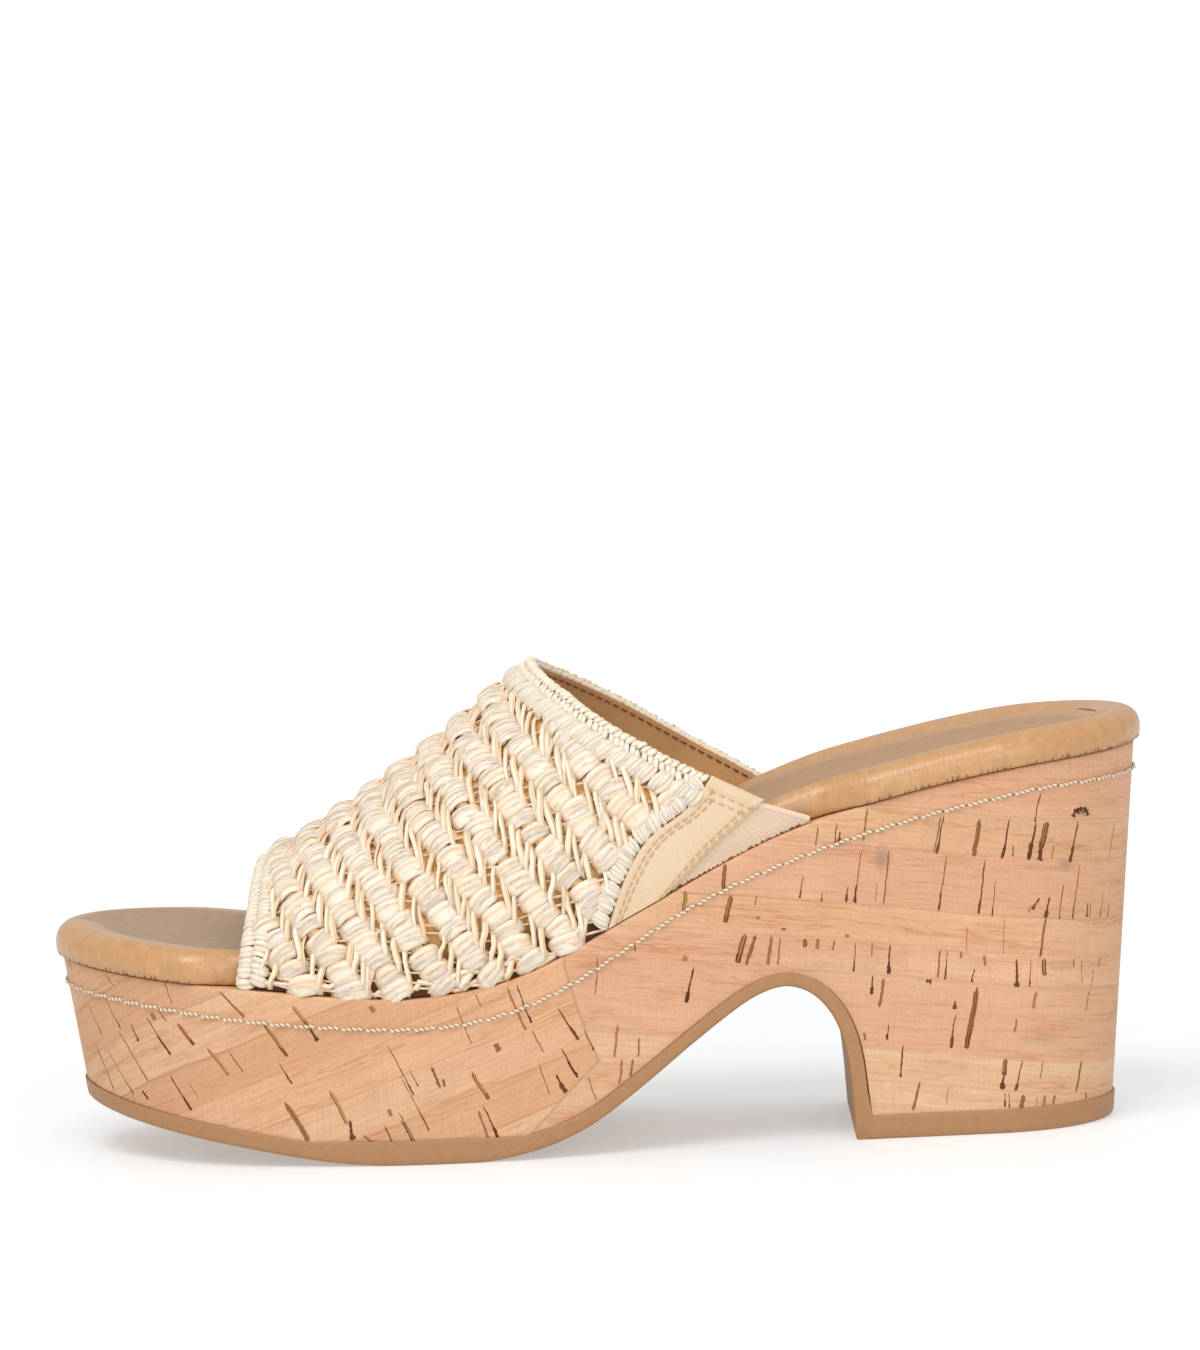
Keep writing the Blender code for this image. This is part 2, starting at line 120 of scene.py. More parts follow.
INSTEP = columns(
    "from_heel crest side fullness",
    (75, 147.0, 4.0, 1.80),
    (96, 137.0, 4.0, 1.85),
    (116, 125.2, 4.0, 1.90),
    (138.5, 108.2, 3.5, 2.00),
    (161, 90.2, 3.0, 2.15),
    (181, 76.2, 2.5, 2.35),
    (197, 66.8, 2.0, 2.45),
    (215, 56.0, 1.5, 2.50),
)
# The rolls of raffia stand higher than the solid's strips, so the surface under them is lower.
CREST_SINK = 1.0
UPPER_INSET = 1.2
UPPER_SEAT = 0.4
STRIP_PITCH = 7.05
STRIP_START = 140.4
STRIPS = range(-3, 11)
STRIP_RAKE_REAR = 0.82
STRIP_RAKE_FRONT = 0.66
STRIP_RAKE_SPAN = 56.0
FRONT_FOOT = (205.3, 40.8)
FRONT_HEAD = (201.2, 65.0)
THROAT = columns(
    "from_heel lateral medial",
    (75, 72.8, 69.4),
    (85, 78.6, 76.8),
    (99, 84.6, 85.2),
    (117, 94.5, 96.4),
    (128.8, 102.4, 103.2),
    (135.8, 107.4, 107.4),
    (140.2, 112.0, 112.0),
)
TAB = columns(
    "down front front_height rear rear_height",
    (0.00, 97.4, 84.6, 85.6, 78.8),
    (0.25, 103.5, 77.6, 91.5, 73.6),
    (0.50, 112.6, 71.0, 97.6, 68.6),
    (0.75, 118.0, 62.6, 103.0, 63.4),
    (1.00, 122.2, 51.7, 108.4, 58.6),
)
GORE_TIP = 75.6
GORE_TIP_RISE = 1.2

# Ways of drawing: turns of a search, steps for slopes, spacing of mesh columns and the sharpest bend
# that is still shaded smooth, in degrees.
SOLVE_TURNS = 40
RIM_STEP = 1e-4
HEEL_STEP, TURN_STEP = 0.2, 0.004
WALL_SPACING, CUSHION_SPACING = 1.0, 1.4
COLUMN_APART = 2e-4
HEEL_BREAST = (60, 95)
THROAT_REACH = 152.0
SHARP_ANGLE = 50.0

# Sizes of the looks alone: stitches round the cork, the weave's bundles, bars and threads, and how far
# the tab's face stands out.
RIM_STITCH = 5.4
BUNDLE_PITCH = 4.2
WRAP_LENGTH = 7.3
WRAP_RISE = math.tan(math.radians(30))
BAR_PITCH = 3.4
BAR_LEAN = 4.8
THREAD_PITCH = 2.8
TAB_FACE = 0.95


def smooth(table, column, at):
    """One column of a table on a smooth curve, read at values of its first column."""
    keys, values = next(iter(table.values())), table[column]
    low, high = np.r_[0, 0:len(keys) - 1], np.r_[1:len(keys), len(keys) - 1]
    slopes = (values[high] - values[low]) / (keys[high] - keys[low])
    at = np.asarray(at, float)
    k = np.clip(np.searchsorted(keys, at) - 1, 0, len(keys) - 2)
    span = keys[k + 1] - keys[k]
    held = np.clip(at, keys[0], keys[-1])
    t = (held - keys[k]) / span
    rise = t * t * (3 - 2 * t)
    lead, trail = t * (1 - t) ** 2 * span, t * t * (t - 1) * span
    inside = values[k] * (1 - rise) + values[k + 1] * rise + slopes[k] * lead + slopes[k + 1] * trail
    return inside + np.where(at < keys[0], slopes[0], slopes[-1]) * (at - held)


def smooth_path(table, steps):
    """A table's rows joined by a smooth curve, keyed by the chord between them."""
    first, second = list(table.values())[:2]
    chord = np.r_[0, np.cumsum(np.hypot(np.diff(first), np.diff(second)))]
    legs = [np.linspace(a, b, steps, endpoint=False) for a, b in zip(chord, chord[1:])]
    keyed = {"chord": chord, **table}
    return {name: smooth(keyed, name, np.r_[np.concatenate(legs), chord[-1]]) for name in table}


def ease(low, high, value):
    """0 below low, 1 above high, and a smooth step between."""
    t = np.clip((value - low) / (high - low), 0, 1)
    return t * t * (3 - 2 * t)


def to_world(points):
    """Shoe sizes to metres in the frame of the CAD."""
    points = np.asarray(points, float)
    shifted = [LENGTH / 2 - points[..., 0], points[..., 1] - MIDDLE_SIDE, points[..., 2]]
    return np.stack(shifted, -1) * MM


def to_world_way(ways):
    """A direction in shoe sizes as one in the frame of the CAD."""
    return np.asarray(ways, float) * (-1, 1, 1)


def unit(vectors):
    return vectors / np.maximum(np.linalg.norm(vectors, axis=-1, keepdims=True), 1e-9)


def lengths_along(points):
    """Length along a row of points, from its first."""
    return np.r_[0, np.cumsum(np.linalg.norm(np.diff(points, axis=0), axis=1))]


def rounding(t):
    return np.sqrt(1 - (1 - np.clip(t, 0, 1)) ** 2)


def rim_side(from_heel, hand):
    half = smooth(STATIONS, "half_width", from_heel)
    half = half * rounding(from_heel / HEEL_ROUND) * rounding((LENGTH - from_heel) / TOE_ROUND)
    return smooth(STATIONS, "centre", from_heel) + hand * half


def rim_height(from_heel):
    return smooth(STATIONS, "rim", from_heel)


def rim_at(turn):
    """Places on the rim and their outward normals; turn runs from the heel along the lateral side."""
    def plan(at):
        from_heel = LENGTH * (1 - np.cos(at)) / 2
        hand = np.where(np.mod(at, math.tau) < math.pi, LATERAL, MEDIAL)
        return from_heel, rim_side(from_heel, hand), hand

    from_heel, side, hand = plan(turn)
    before, after = plan(turn - RIM_STEP), plan(turn + RIM_STEP)
    along, across = after[0] - before[0], after[1] - before[1]
    size = np.hypot(along, across)
    return SimpleNamespace(from_heel=from_heel, side=side, hand=hand,
                           out_along=across / size, out_side=-along / size)


def sole_lines(lift):
    """Height of the underside, and of the line a lift above the band, against from-heel places."""
    path = smooth_path(UNDERSIDE, 8)
    from_heel, height = path["from_heel"], path["height"]
    along, up = np.gradient(from_heel), np.gradient(height)
    reach = (path["band"] + lift) / np.hypot(along, up)
    raised_heel, raised = from_heel + up * reach, height - along * reach
    above = raised > HEEL_LIFT + lift
    raised_heel, raised = raised_heel[above], raised[above]
    raised_heel = np.r_[raised_heel, raised_heel[-1] - 0.01]
    raised = np.r_[raised, HEEL_LIFT + lift]
    return (from_heel[::-1], np.maximum(height[::-1], 0)), (raised_heel[::-1], raised[::-1])


def rim_columns(spacing):
    """Turns round the rim for a fine mesh, as many on each side, closer at the heel breast."""
    dense = np.linspace(0, math.pi, 4001)
    rim = rim_at(dense)
    arc = lengths_along(np.stack([rim.from_heel, rim.side], 1))
    even = np.interp(np.linspace(0, arc[-1], round(arc[-1] / spacing) + 1), arc, dense)
    breast = np.concatenate([line[0] for line in sole_lines(0)])
    breast = breast[(breast > HEEL_BREAST[0]) & (breast < HEEL_BREAST[1])]
    half = np.unique(np.round(np.r_[even, np.arccos(1 - 2 * breast / LENGTH)], 5))
    half = half[np.r_[True, np.diff(half) > COLUMN_APART]]
    half[0], half[-1] = 0, math.pi
    return np.r_[half, math.tau - half[-2:0:-1]]


def wall_point(rim, height, out):
    """Place on the platform's tapered side."""
    slope = np.tan(np.radians(smooth(STATIONS, "draft", rim.from_heel)))
    out = out - slope * (rim_height(rim.from_heel) - height)
    from_heel, side = rim.from_heel + rim.out_along * out, rim.side + rim.out_side * out
    return np.stack([from_heel, side, np.broadcast_to(height, from_heel.shape)], -1)


def drawn_in(rim):
    """Share of the cushion's standing back that applies at rim places: 1 where the upper passes."""
    rear_end = np.where(rim.hand == LATERAL, DRAWN_REAR[LATERAL], DRAWN_REAR[MEDIAL])
    front = (DRAWN_FRONT + DRAWN_FRONT_EASE - rim.from_heel) / DRAWN_FRONT_EASE
    rear = (rim.from_heel - rear_end + DRAWN_REAR_EASE) / DRAWN_REAR_EASE
    return ease(0, 1, np.minimum(front, rear))


def upper_place(from_heel, around):
    """Place on the upper's surface; around runs from the lateral rim at -1 over the crest to 1."""
    base = rim_height(from_heel) + UPPER_SEAT
    crest = smooth(INSTEP, "crest", from_heel) - CREST_SINK
    middle = smooth(INSTEP, "side", from_heel)
    hand = np.where(around < 0, LATERAL, MEDIAL)
    edge = rim_side(from_heel, hand) - hand * UPPER_INSET
    power = 2 / smooth(INSTEP, "fullness", from_heel)
    turn = np.minimum(np.abs(around), 1) * math.pi / 2
    side = middle + (edge - middle) * np.sin(turn) ** power
    height = base + (crest - base) * np.maximum(np.cos(turn), 0) ** power
    return np.stack([from_heel + 0 * around, side, height], -1)


def upper_out(from_heel, around):
    """Outward normal of the upper's surface."""
    low, high = np.maximum(around - TURN_STEP, -1), np.minimum(around + TURN_STEP, 1)
    along = upper_place(from_heel + HEEL_STEP, around) - upper_place(from_heel - HEEL_STEP, around)
    across = upper_place(from_heel, high) - upper_place(from_heel, low)
    return unit(np.cross(along, across))


def upper_point(from_heel, around, out):
    return upper_place(from_heel, around) + upper_out(from_heel, around) * np.asarray(out)[..., None]


def halved(low, high, beyond):
    """Closes in on the place where a test turns false, for arrays of places."""
    for _ in range(SOLVE_TURNS):
        middle = (low + high) / 2
        far = beyond(middle)
        low, high = np.where(far, middle, low), np.where(far, high, middle)
    return (low + high) / 2


def around_at(from_heel, height, hand):
    zero = np.zeros_like(np.asarray(from_heel, float))
    found = halved(zero, zero + 1, lambda at: upper_place(from_heel, hand * at)[..., 2] > height)
    return hand * found


def throat_at(around):
    """From-heel place of the throat line at around values."""
    def inside(at):
        line = np.where(around < 0, smooth(THROAT, "lateral", at), smooth(THROAT, "medial", at))
        return upper_place(at, around)[..., 2] > line

    zero = np.zeros_like(around)
    return halved(zero + GORE_TIP, zero + THROAT_REACH, inside)


def front_at(around):
    """From-heel place of the vamp's front edge at around values."""
    (foot, low), (head, high) = FRONT_FOOT, FRONT_HEAD
    from_heel = np.full_like(around, foot)
    for _ in range(SOLVE_TURNS):
        rise = (upper_place(from_heel, around)[..., 2] - low) / (high - low)
        from_heel = foot + (head - foot) * rise
    return from_heel


def strip_at(crossing, around):
    """From-heel place at which the strip line that crosses the crest at one place reaches around."""
    turned = STRIP_RAKE_FRONT - STRIP_RAKE_REAR
    rake = STRIP_RAKE_REAR + turned * (crossing - STRIP_START) / STRIP_RAKE_SPAN
    crest = smooth(INSTEP, "crest", crossing)
    from_heel = crossing + 0 * around
    for _ in range(SOLVE_TURNS):
        from_heel = crossing - rake * (crest - upper_place(from_heel, around)[..., 2])
    return from_heel


def tab_edge(down, edge):
    return smooth(TAB, edge, down), smooth(TAB, edge + "_height", down)


def plug(tree, node, inputs):
    """Give a node's inputs a value or another node's output each."""
    for key, value in inputs.items():
        if isinstance(value, bpy.types.NodeSocket):
            tree.links.new(value, node.inputs[key])
        else:
            node.inputs[key].default_value = value


def add(tree, kind, inputs=None, out=0, **settings):
    """Add a node with its settings and links, and return one of its outputs."""
    made = tree.nodes.new(kind)
    for key, value in settings.items():
        setattr(made, key, value)
    plug(tree, made, inputs or {})
    return made.outputs[out]


def colour(code):
    """An sRGB hex value as the linear colour that shaders take."""
    parts = [int(code[i:i + 2], 16) / 255 for i in (1, 3, 5)]
    return (*[c / 12.92 if c <= 0.04045 else ((c + 0.055) / 1.055) ** 2.4 for c in parts], 1.0)


def new_material(name):
    made = bpy.data.materials.new(name)
    made.use_nodes = True
    return made, made.node_tree, made.node_tree.nodes["Principled BSDF"]


def piece_from(name, mesh, materials, *nodes, slot=None):
    """Put a finished mesh in the scene as a piece that rides on the shoe and stands for CAD nodes."""
    made = bpy.data.objects.new(name, mesh)
    bpy.context.scene.collection.objects.link(made)
    if not mesh.materials:
        for material in materials:
            mesh.materials.append(material)
    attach(made, "root")
    if nodes:
        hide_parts(*nodes)
    return made


def mark_points(mesh, values):
    """Store a value for each point under each name."""
    for key, numbers in values.items():
        attribute = mesh.attributes.new(key, "FLOAT", "POINT")
        attribute.data.foreach_set("value", np.asarray(numbers, np.float32))


def mesh_from(name, points, faces, corners, floats):
    """A smooth closed mesh from shoe sizes, with a UV for each face corner and values for each point."""
    mesh = bpy.data.meshes.new(name)
    mesh.from_pydata(to_world(points).tolist(), [], faces)
    layer = mesh.uv_layers.new(name="sheet")
    layer.data.foreach_set("uv", np.asarray(corners, np.float32).ravel())
    mark_points(mesh, floats)
    shape = bmesh.new()
    shape.from_mesh(mesh)
    bmesh.ops.recalc_face_normals(shape, faces=shape.faces)
    shape.to_mesh(mesh)
    shape.free()
    mesh.shade_smooth()
    mesh.set_sharp_from_angle(angle=math.radians(SHARP_ANGLE))
    return mesh


def loft(name, loops, heights, cap_steps, floats=None):
    """Closed body through loops of points round the shoe, its ends filled from side to side.

    The UV is the length round the shoe by a height for each point, in metres; the ends take their plan.
    """
    rows, count = len(loops), len(loops[0])
    half = count // 2
    closed = np.concatenate([loops[-1], loops[-1][:1]])
    around = lengths_along(closed[:, :2]) * MM
    heights = np.asarray(heights) * MM
    points, total = [np.concatenate(loops)], rows * count
    faces, corners = [], []
    for r in range(rows - 1):
        for j in range(count):
            k = (j + 1) % count
            faces.append((r * count + j, r * count + k, (r + 1) * count + k, (r + 1) * count + j))
            corners += [(around[j], heights[r, j]), (around[j + 1], heights[r, k]),
                        (around[j + 1], heights[r + 1, k]), (around[j], heights[r + 1, j])]
    caps = []
    share = np.linspace(0, 1, cap_steps + 1)[1:-1, None]
    for base, end in ((0, loops[0]), ((rows - 1) * count, loops[-1])):
        grid = np.zeros((half + 1, cap_steps + 1), int) + base
        grid[half] = base + half
        for i in range(1, half):
            inner = np.arange(total, total + cap_steps - 1)
            grid[i] = np.r_[base + i, inner, base + count - i]
            points.append(end[i] * (1 - share) + end[count - i] * share)
            total += cap_steps - 1
        for i in range(half):
            for j in range(cap_steps):
                ring = (grid[i, j], grid[i + 1, j], grid[i + 1, j + 1], grid[i, j + 1])
                caps.append(tuple(dict.fromkeys(int(index) for index in ring)))
    points = np.concatenate(points)
    for ring in caps:
        corners += [tuple(points[index, :2] * MM) for index in ring]
    values = {}
    for key, levels in (floats or {}).items():
        levels = np.broadcast_to(np.reshape(levels, (rows, -1)), (rows, count))
        fill = np.full(len(points) - rows * count, levels[-1].mean())
        fill[:len(fill) // 2] = levels[0].mean()
        values[key] = np.r_[levels.ravel(), fill]
    return mesh_from(name, points, faces + caps, corners, values)


def wall_between(name, outer, inner, floats=None):
    """Sheet with two faces from grids of points of one shape; its UV is the length along and across.

    Returns the mesh, and 1 for each face that lies inside.
    """
    rows, cols = outer.shape[:2]
    points = np.concatenate([outer.reshape(-1, 3), inner.reshape(-1, 3)])
    along = np.stack([lengths_along(outer[:, j]) for j in range(cols)], 1) * MM
    across = np.stack([lengths_along(outer[i]) for i in range(rows)], 0) * MM
    faces, corners, inside = [], [], []
    for side in range(2):
        base = side * rows * cols
        for i in range(rows - 1):
            for j in range(cols - 1):
                ring = [(i, j), (i + 1, j), (i + 1, j + 1), (i, j + 1)]
                ring = ring[::-1] if side else ring
                faces.append(tuple(base + a * cols + b for a, b in ring))
                corners += [(across[a, b], along[a, b]) for a, b in ring]
                inside.append(side)
    border = [(i, 0) for i in range(rows)] + [(rows - 1, j) for j in range(1, cols)]
    border += [(i, cols - 1) for i in range(rows - 2, -1, -1)] + [(0, j) for j in range(cols - 2, 0, -1)]
    for a, b in zip(border, border[1:] + border[:1]):
        p, q = a[0] * cols + a[1], b[0] * cols + b[1]
        faces.append((p, q, q + rows * cols, p + rows * cols))
        corners += [(across[at], along[at]) for at in (a, b, b, a)]
        inside.append(0)
    values = {key: np.tile(np.asarray(grid).ravel(), 2) for key, grid in (floats or {}).items()}
    return mesh_from(name, points, faces, corners, values), np.array(inside)


def node_group(name, *sockets):
    """A geometry tree with its inputs; returns the tree, what it is given and where its result goes."""
    tree = bpy.data.node_groups.new(name, "GeometryNodeTree")
    tree.interface.new_socket("Geometry", in_out="OUTPUT", socket_type="NodeSocketGeometry")
    for label, kind in (("Geometry", "Geometry"), *sockets):
        tree.interface.new_socket(label, in_out="INPUT", socket_type="NodeSocket" + kind)
    return tree, tree.nodes.new("NodeGroupInput").outputs, tree.nodes.new("NodeGroupOutput").inputs[0]


def run_tree(name, mesh, tree, **values):
    """The mesh that a geometry tree makes of another, as a plain mesh."""
    carrier = bpy.data.objects.new(name, mesh)
    bpy.context.scene.collection.objects.link(carrier)
    modifier = carrier.modifiers.new(tree.name, "NODES")
    modifier.node_group = tree
    for item in tree.interface.items_tree:
        if item.in_out == "INPUT" and item.name in values:
            modifier[item.identifier] = values[item.name]
    graph = bpy.context.evaluated_depsgraph_get()
    made = bpy.data.meshes.new_from_object(carrier.evaluated_get(graph), depsgraph=graph)
    made.name = name
    bpy.data.objects.remove(carrier)
    bpy.data.meshes.remove(mesh)
    return made


def strand_tree():
    """Sweeps a flattened round section along each row of points; lay is the flat side's outward normal."""
    tree, given, result = node_group("strand_sweep", ("Width", "Float"), ("Thickness", "Float"),
                                     ("Sides", "Int"), ("Finish", "Material"))
    lay, girth = (add(tree, "GeometryNodeInputNamedAttribute", {"Name": label}, "Attribute", data_type=kind)
                  for label, kind in (("lay", "FLOAT_VECTOR"), ("girth", "FLOAT")))
    line = add(tree, "GeometryNodeMeshToCurve", {"Mesh": given["Geometry"]})
    turned = add(tree, "GeometryNodeSetCurveNormal", {"Curve": line, "Normal": lay}, mode="FREE")
    ring = add(tree, "GeometryNodeCurvePrimitiveCircle", {"Resolution": given["Sides"], "Radius": 0.5})
    flat = add(tree, "ShaderNodeCombineXYZ", {"X": given["Thickness"], "Y": given["Width"], "Z": 1.0})
    section = add(tree, "GeometryNodeTransform", {"Geometry": ring, "Scale": flat})
    place = add(tree, "GeometryNodeSplineParameter", out="Factor")
    marked = add(tree, "GeometryNodeStoreNamedAttribute",
                 {"Geometry": section, "Name": "across", "Value": place}, data_type="FLOAT", domain="POINT")
    swept = add(tree, "GeometryNodeCurveToMesh",
                {"Curve": turned, "Profile Curve": marked, "Scale": girth, "Fill Caps": True})
    whole = add(tree, "GeometryNodeRealizeInstances", {"Geometry": swept})
    soft = add(tree, "GeometryNodeSetShadeSmooth", {"Geometry": whole, "Shade Smooth": True})
    done = add(tree, "GeometryNodeSetMaterial", {"Geometry": soft, "Material": given["Finish"]})
    tree.links.new(done, result)
    return tree


def stitch_tree():
    """Sets one stitch after another along rows of points, up to the lay."""
    tree, given, result = node_group("stitch_row", ("Pitch", "Float"), ("Stitch", "Object"),
                                     ("Finish", "Material"))
    lay = add(tree, "GeometryNodeInputNamedAttribute", {"Name": "lay"}, "Attribute", data_type="FLOAT_VECTOR")
    line = add(tree, "GeometryNodeMeshToCurve", {"Mesh": given["Geometry"]})
    places = add(tree, "GeometryNodeResampleCurve", {"Curve": line, "Length": given["Pitch"]}, mode="LENGTH")
    stitch = add(tree, "GeometryNodeObjectInfo", {"Object": given["Stitch"]}, "Geometry")
    turned = add(tree, "FunctionNodeAxesToRotation", {0: add(tree, "GeometryNodeInputTangent"), 1: lay},
                 primary_axis="X", secondary_axis="Z")
    set_out = add(tree, "GeometryNodeInstanceOnPoints",
                  {"Points": places, "Instance": stitch, "Rotation": turned})
    whole = add(tree, "GeometryNodeRealizeInstances", {"Geometry": set_out})
    done = add(tree, "GeometryNodeSetMaterial", {"Geometry": whole, "Material": given["Finish"]})
    tree.links.new(done, result)
    return tree


STRAND_TREE = strand_tree()
STITCH_TREE = stitch_tree()


class Lines:
    """Rows of points for the strand tree, in shoe sizes, with the values that ride along them."""

    def __init__(self):
        self.sets = []

    def put(self, points, lay, girth=1.0, tone=0.5, tuck_shade=0.0):
        """Add rows of points (strands, places, 3); the other values fit that shape. The tuck value is the
        share of painted golden shade that the raffia skins lay on.
        """
        shape = points.shape[:2]
        if not shape[0]:
            return
        fit = [np.broadcast_to(value, shape).ravel() for value in (girth, tone, tuck_shade)]
        run = np.concatenate([lengths_along(row) for row in points])
        self.sets.append((points.reshape(-1, 3), lay.reshape(-1, 3), *fit, run, shape))

    def row(self, points, out, *values):
        """Add one row of points, its lay turned square to it."""
        self.put(points[None], lay_over(points[None], out), *values)

    def mesh(self, name):
        points, lays, *values, shapes = zip(*self.sets)
        edges, base = [], 0
        for strands, places in shapes:
            index = base + np.arange(strands * places).reshape(strands, places)
            edges.append(np.stack([index[:, :-1].ravel(), index[:, 1:].ravel()], 1))
            base += strands * places
        made = bpy.data.meshes.new(name)
        made.from_pydata(to_world(np.concatenate(points)).tolist(), np.concatenate(edges).tolist(), [])
        lay = made.attributes.new("lay", "FLOAT_VECTOR", "POINT")
        lay.data.foreach_set("vector", to_world_way(np.concatenate(lays)).astype(np.float32).ravel())
        mark_points(made, {label: np.concatenate(numbers)
                           for label, numbers in zip(("girth", "tone", "tuck_shade", "run"), values)})
        return made

    def swept(self, name, material, width, thickness, sides):
        """The rows as strands of a width and thickness in millimetres."""
        return run_tree(name, self.mesh(name + "_lines"), STRAND_TREE, Width=width * MM,
                        Thickness=thickness * MM, Sides=sides, Finish=material)

    def piece(self, name, material, width, thickness, sides, *nodes, slot):
        mesh = self.swept(name, material, width, thickness, sides)
        return piece_from(name, mesh, [material], *nodes, slot=slot)


def lay_over(points, out, turn=None):
    """Outward normals square to rows of points, turned about the row by an angle where one is given."""
    way = unit(np.gradient(points, axis=1))
    lay = unit(out - np.sum(out * way, -1, keepdims=True) * way)
    if turn is None:
        return lay
    turn = np.asarray(turn)[..., None]
    return lay * np.cos(turn) + np.cross(way, lay) * np.sin(turn)


def stitch_shape(name, length, thread, plies, turns, dive, slant=0.0):
    """One stitch along X that goes down into the leather at its ends, of one thread or of twisted plies."""
    t = np.linspace(-1, 1, 15 if plies > 1 else 7)
    rise = thread * 0.5 - dive * t ** 6
    radius, section = (thread * 0.26, thread * 0.58) if plies > 1 else (0.0, thread)
    rows = Lines()
    for ply in range(plies):
        angle = math.pi * turns * t + math.tau * ply / plies
        across, up = radius * np.cos(angle) + slant * t, rise + radius * np.sin(angle)
        points = np.stack([LENGTH / 2 - t * length / 2, MIDDLE_SIDE + across, up], -1)
        girth = 1 + 0.4 * np.exp(-((np.abs(t) - 0.86) / 0.1) ** 2) - 0.3 * np.abs(t) ** 12
        rows.row(points, UP, girth, ply / max(plies - 1, 1))
    made = bpy.data.objects.new(name, rows.swept(name, None, section, section, 6))
    bpy.context.scene.collection.objects.link(made)
    return made


def stitch_rows(name, paths, pitch, stitch, material):
    """Rows of one stitch along paths of points with their normals; the loose stitch is cleared away."""
    rows = Lines()
    for points, lay in paths:
        rows.put(points[None], lay[None])
    mesh = run_tree(name, rows.mesh(name + "_lines"), STITCH_TREE, Pitch=pitch * MM, Stitch=stitch,
                    Finish=material)
    bpy.data.objects.remove(stitch)
    return piece_from(name, mesh, [material])


# Marks of the cork's sheets. They were read by eye on the lateral side, and a scratch script worked the
# readings out in shoe sizes. A joint's level is the height of its line, which rises by a slope along
# the shoe.
REAR_SLOPE, REAR_JOINTS = 0.125, (5.9, 13.0, 30.1, 37.6, 45.9, 59.6, 68.9)
FORE_SLOPE, FORE_JOINTS = -0.37, (62.0, 72.5, 83.0, 94.3, 104.4, 117.5, 129.0)
# Tones of the strips from the lowest level up.
REAR_TONES = ("#D2AB87", "#D3AD88", "#CEA17F", "#D0A382", "#CFA47F", "#CE9F7E", "#CEA580", "#CE9F7D")
FORE_TONES = ("#D1A984", "#CB9D77", "#D0A783", "#D2A681", "#C79772", "#D2AA85", "#CB9C77", "#CFA580")
CORK_BAND, CORK_LINE, CORK_JOINT = "#CC9670", "#B0744B", "#98683F"
# Half the width of a joint, and the from-heel place at which the front sheets' lengths agree.
JOINT_HALF = 0.24
SHEETS_AGREE = 190
# Grey stains of the cork: middle, half width, half height and share.
CORK_STAIN = "#6F6250"
CORK_STAINS = ((59.6, 64.4, 2.6, 3.6, 0.45), (17.6, 60.5, 3.4, 1.9, 0.5), (25.0, 21.4, 5.0, 2.2, 0.25),
               (13.5, 72.4, 2.1, 1.6, 0.8))
SHEET_SEAM = columns("height from_heel", (10.1, 136.1), (19.0, 127.6), (22.4, 124.3), (23.9, 125.8),
                     (33.2, 128.8), (40.5, 130.7))
STITCH_LINE = columns("from_heel height", (0, 79.8), (12.8, 79.3), (27.3, 78.1), (64.4, 69.8), (99.7, 57.1),
                      (135.2, 37.3), (157.1, 31.6), (189.4, 32.3), (234.2, 37.4), (247, 38.6))
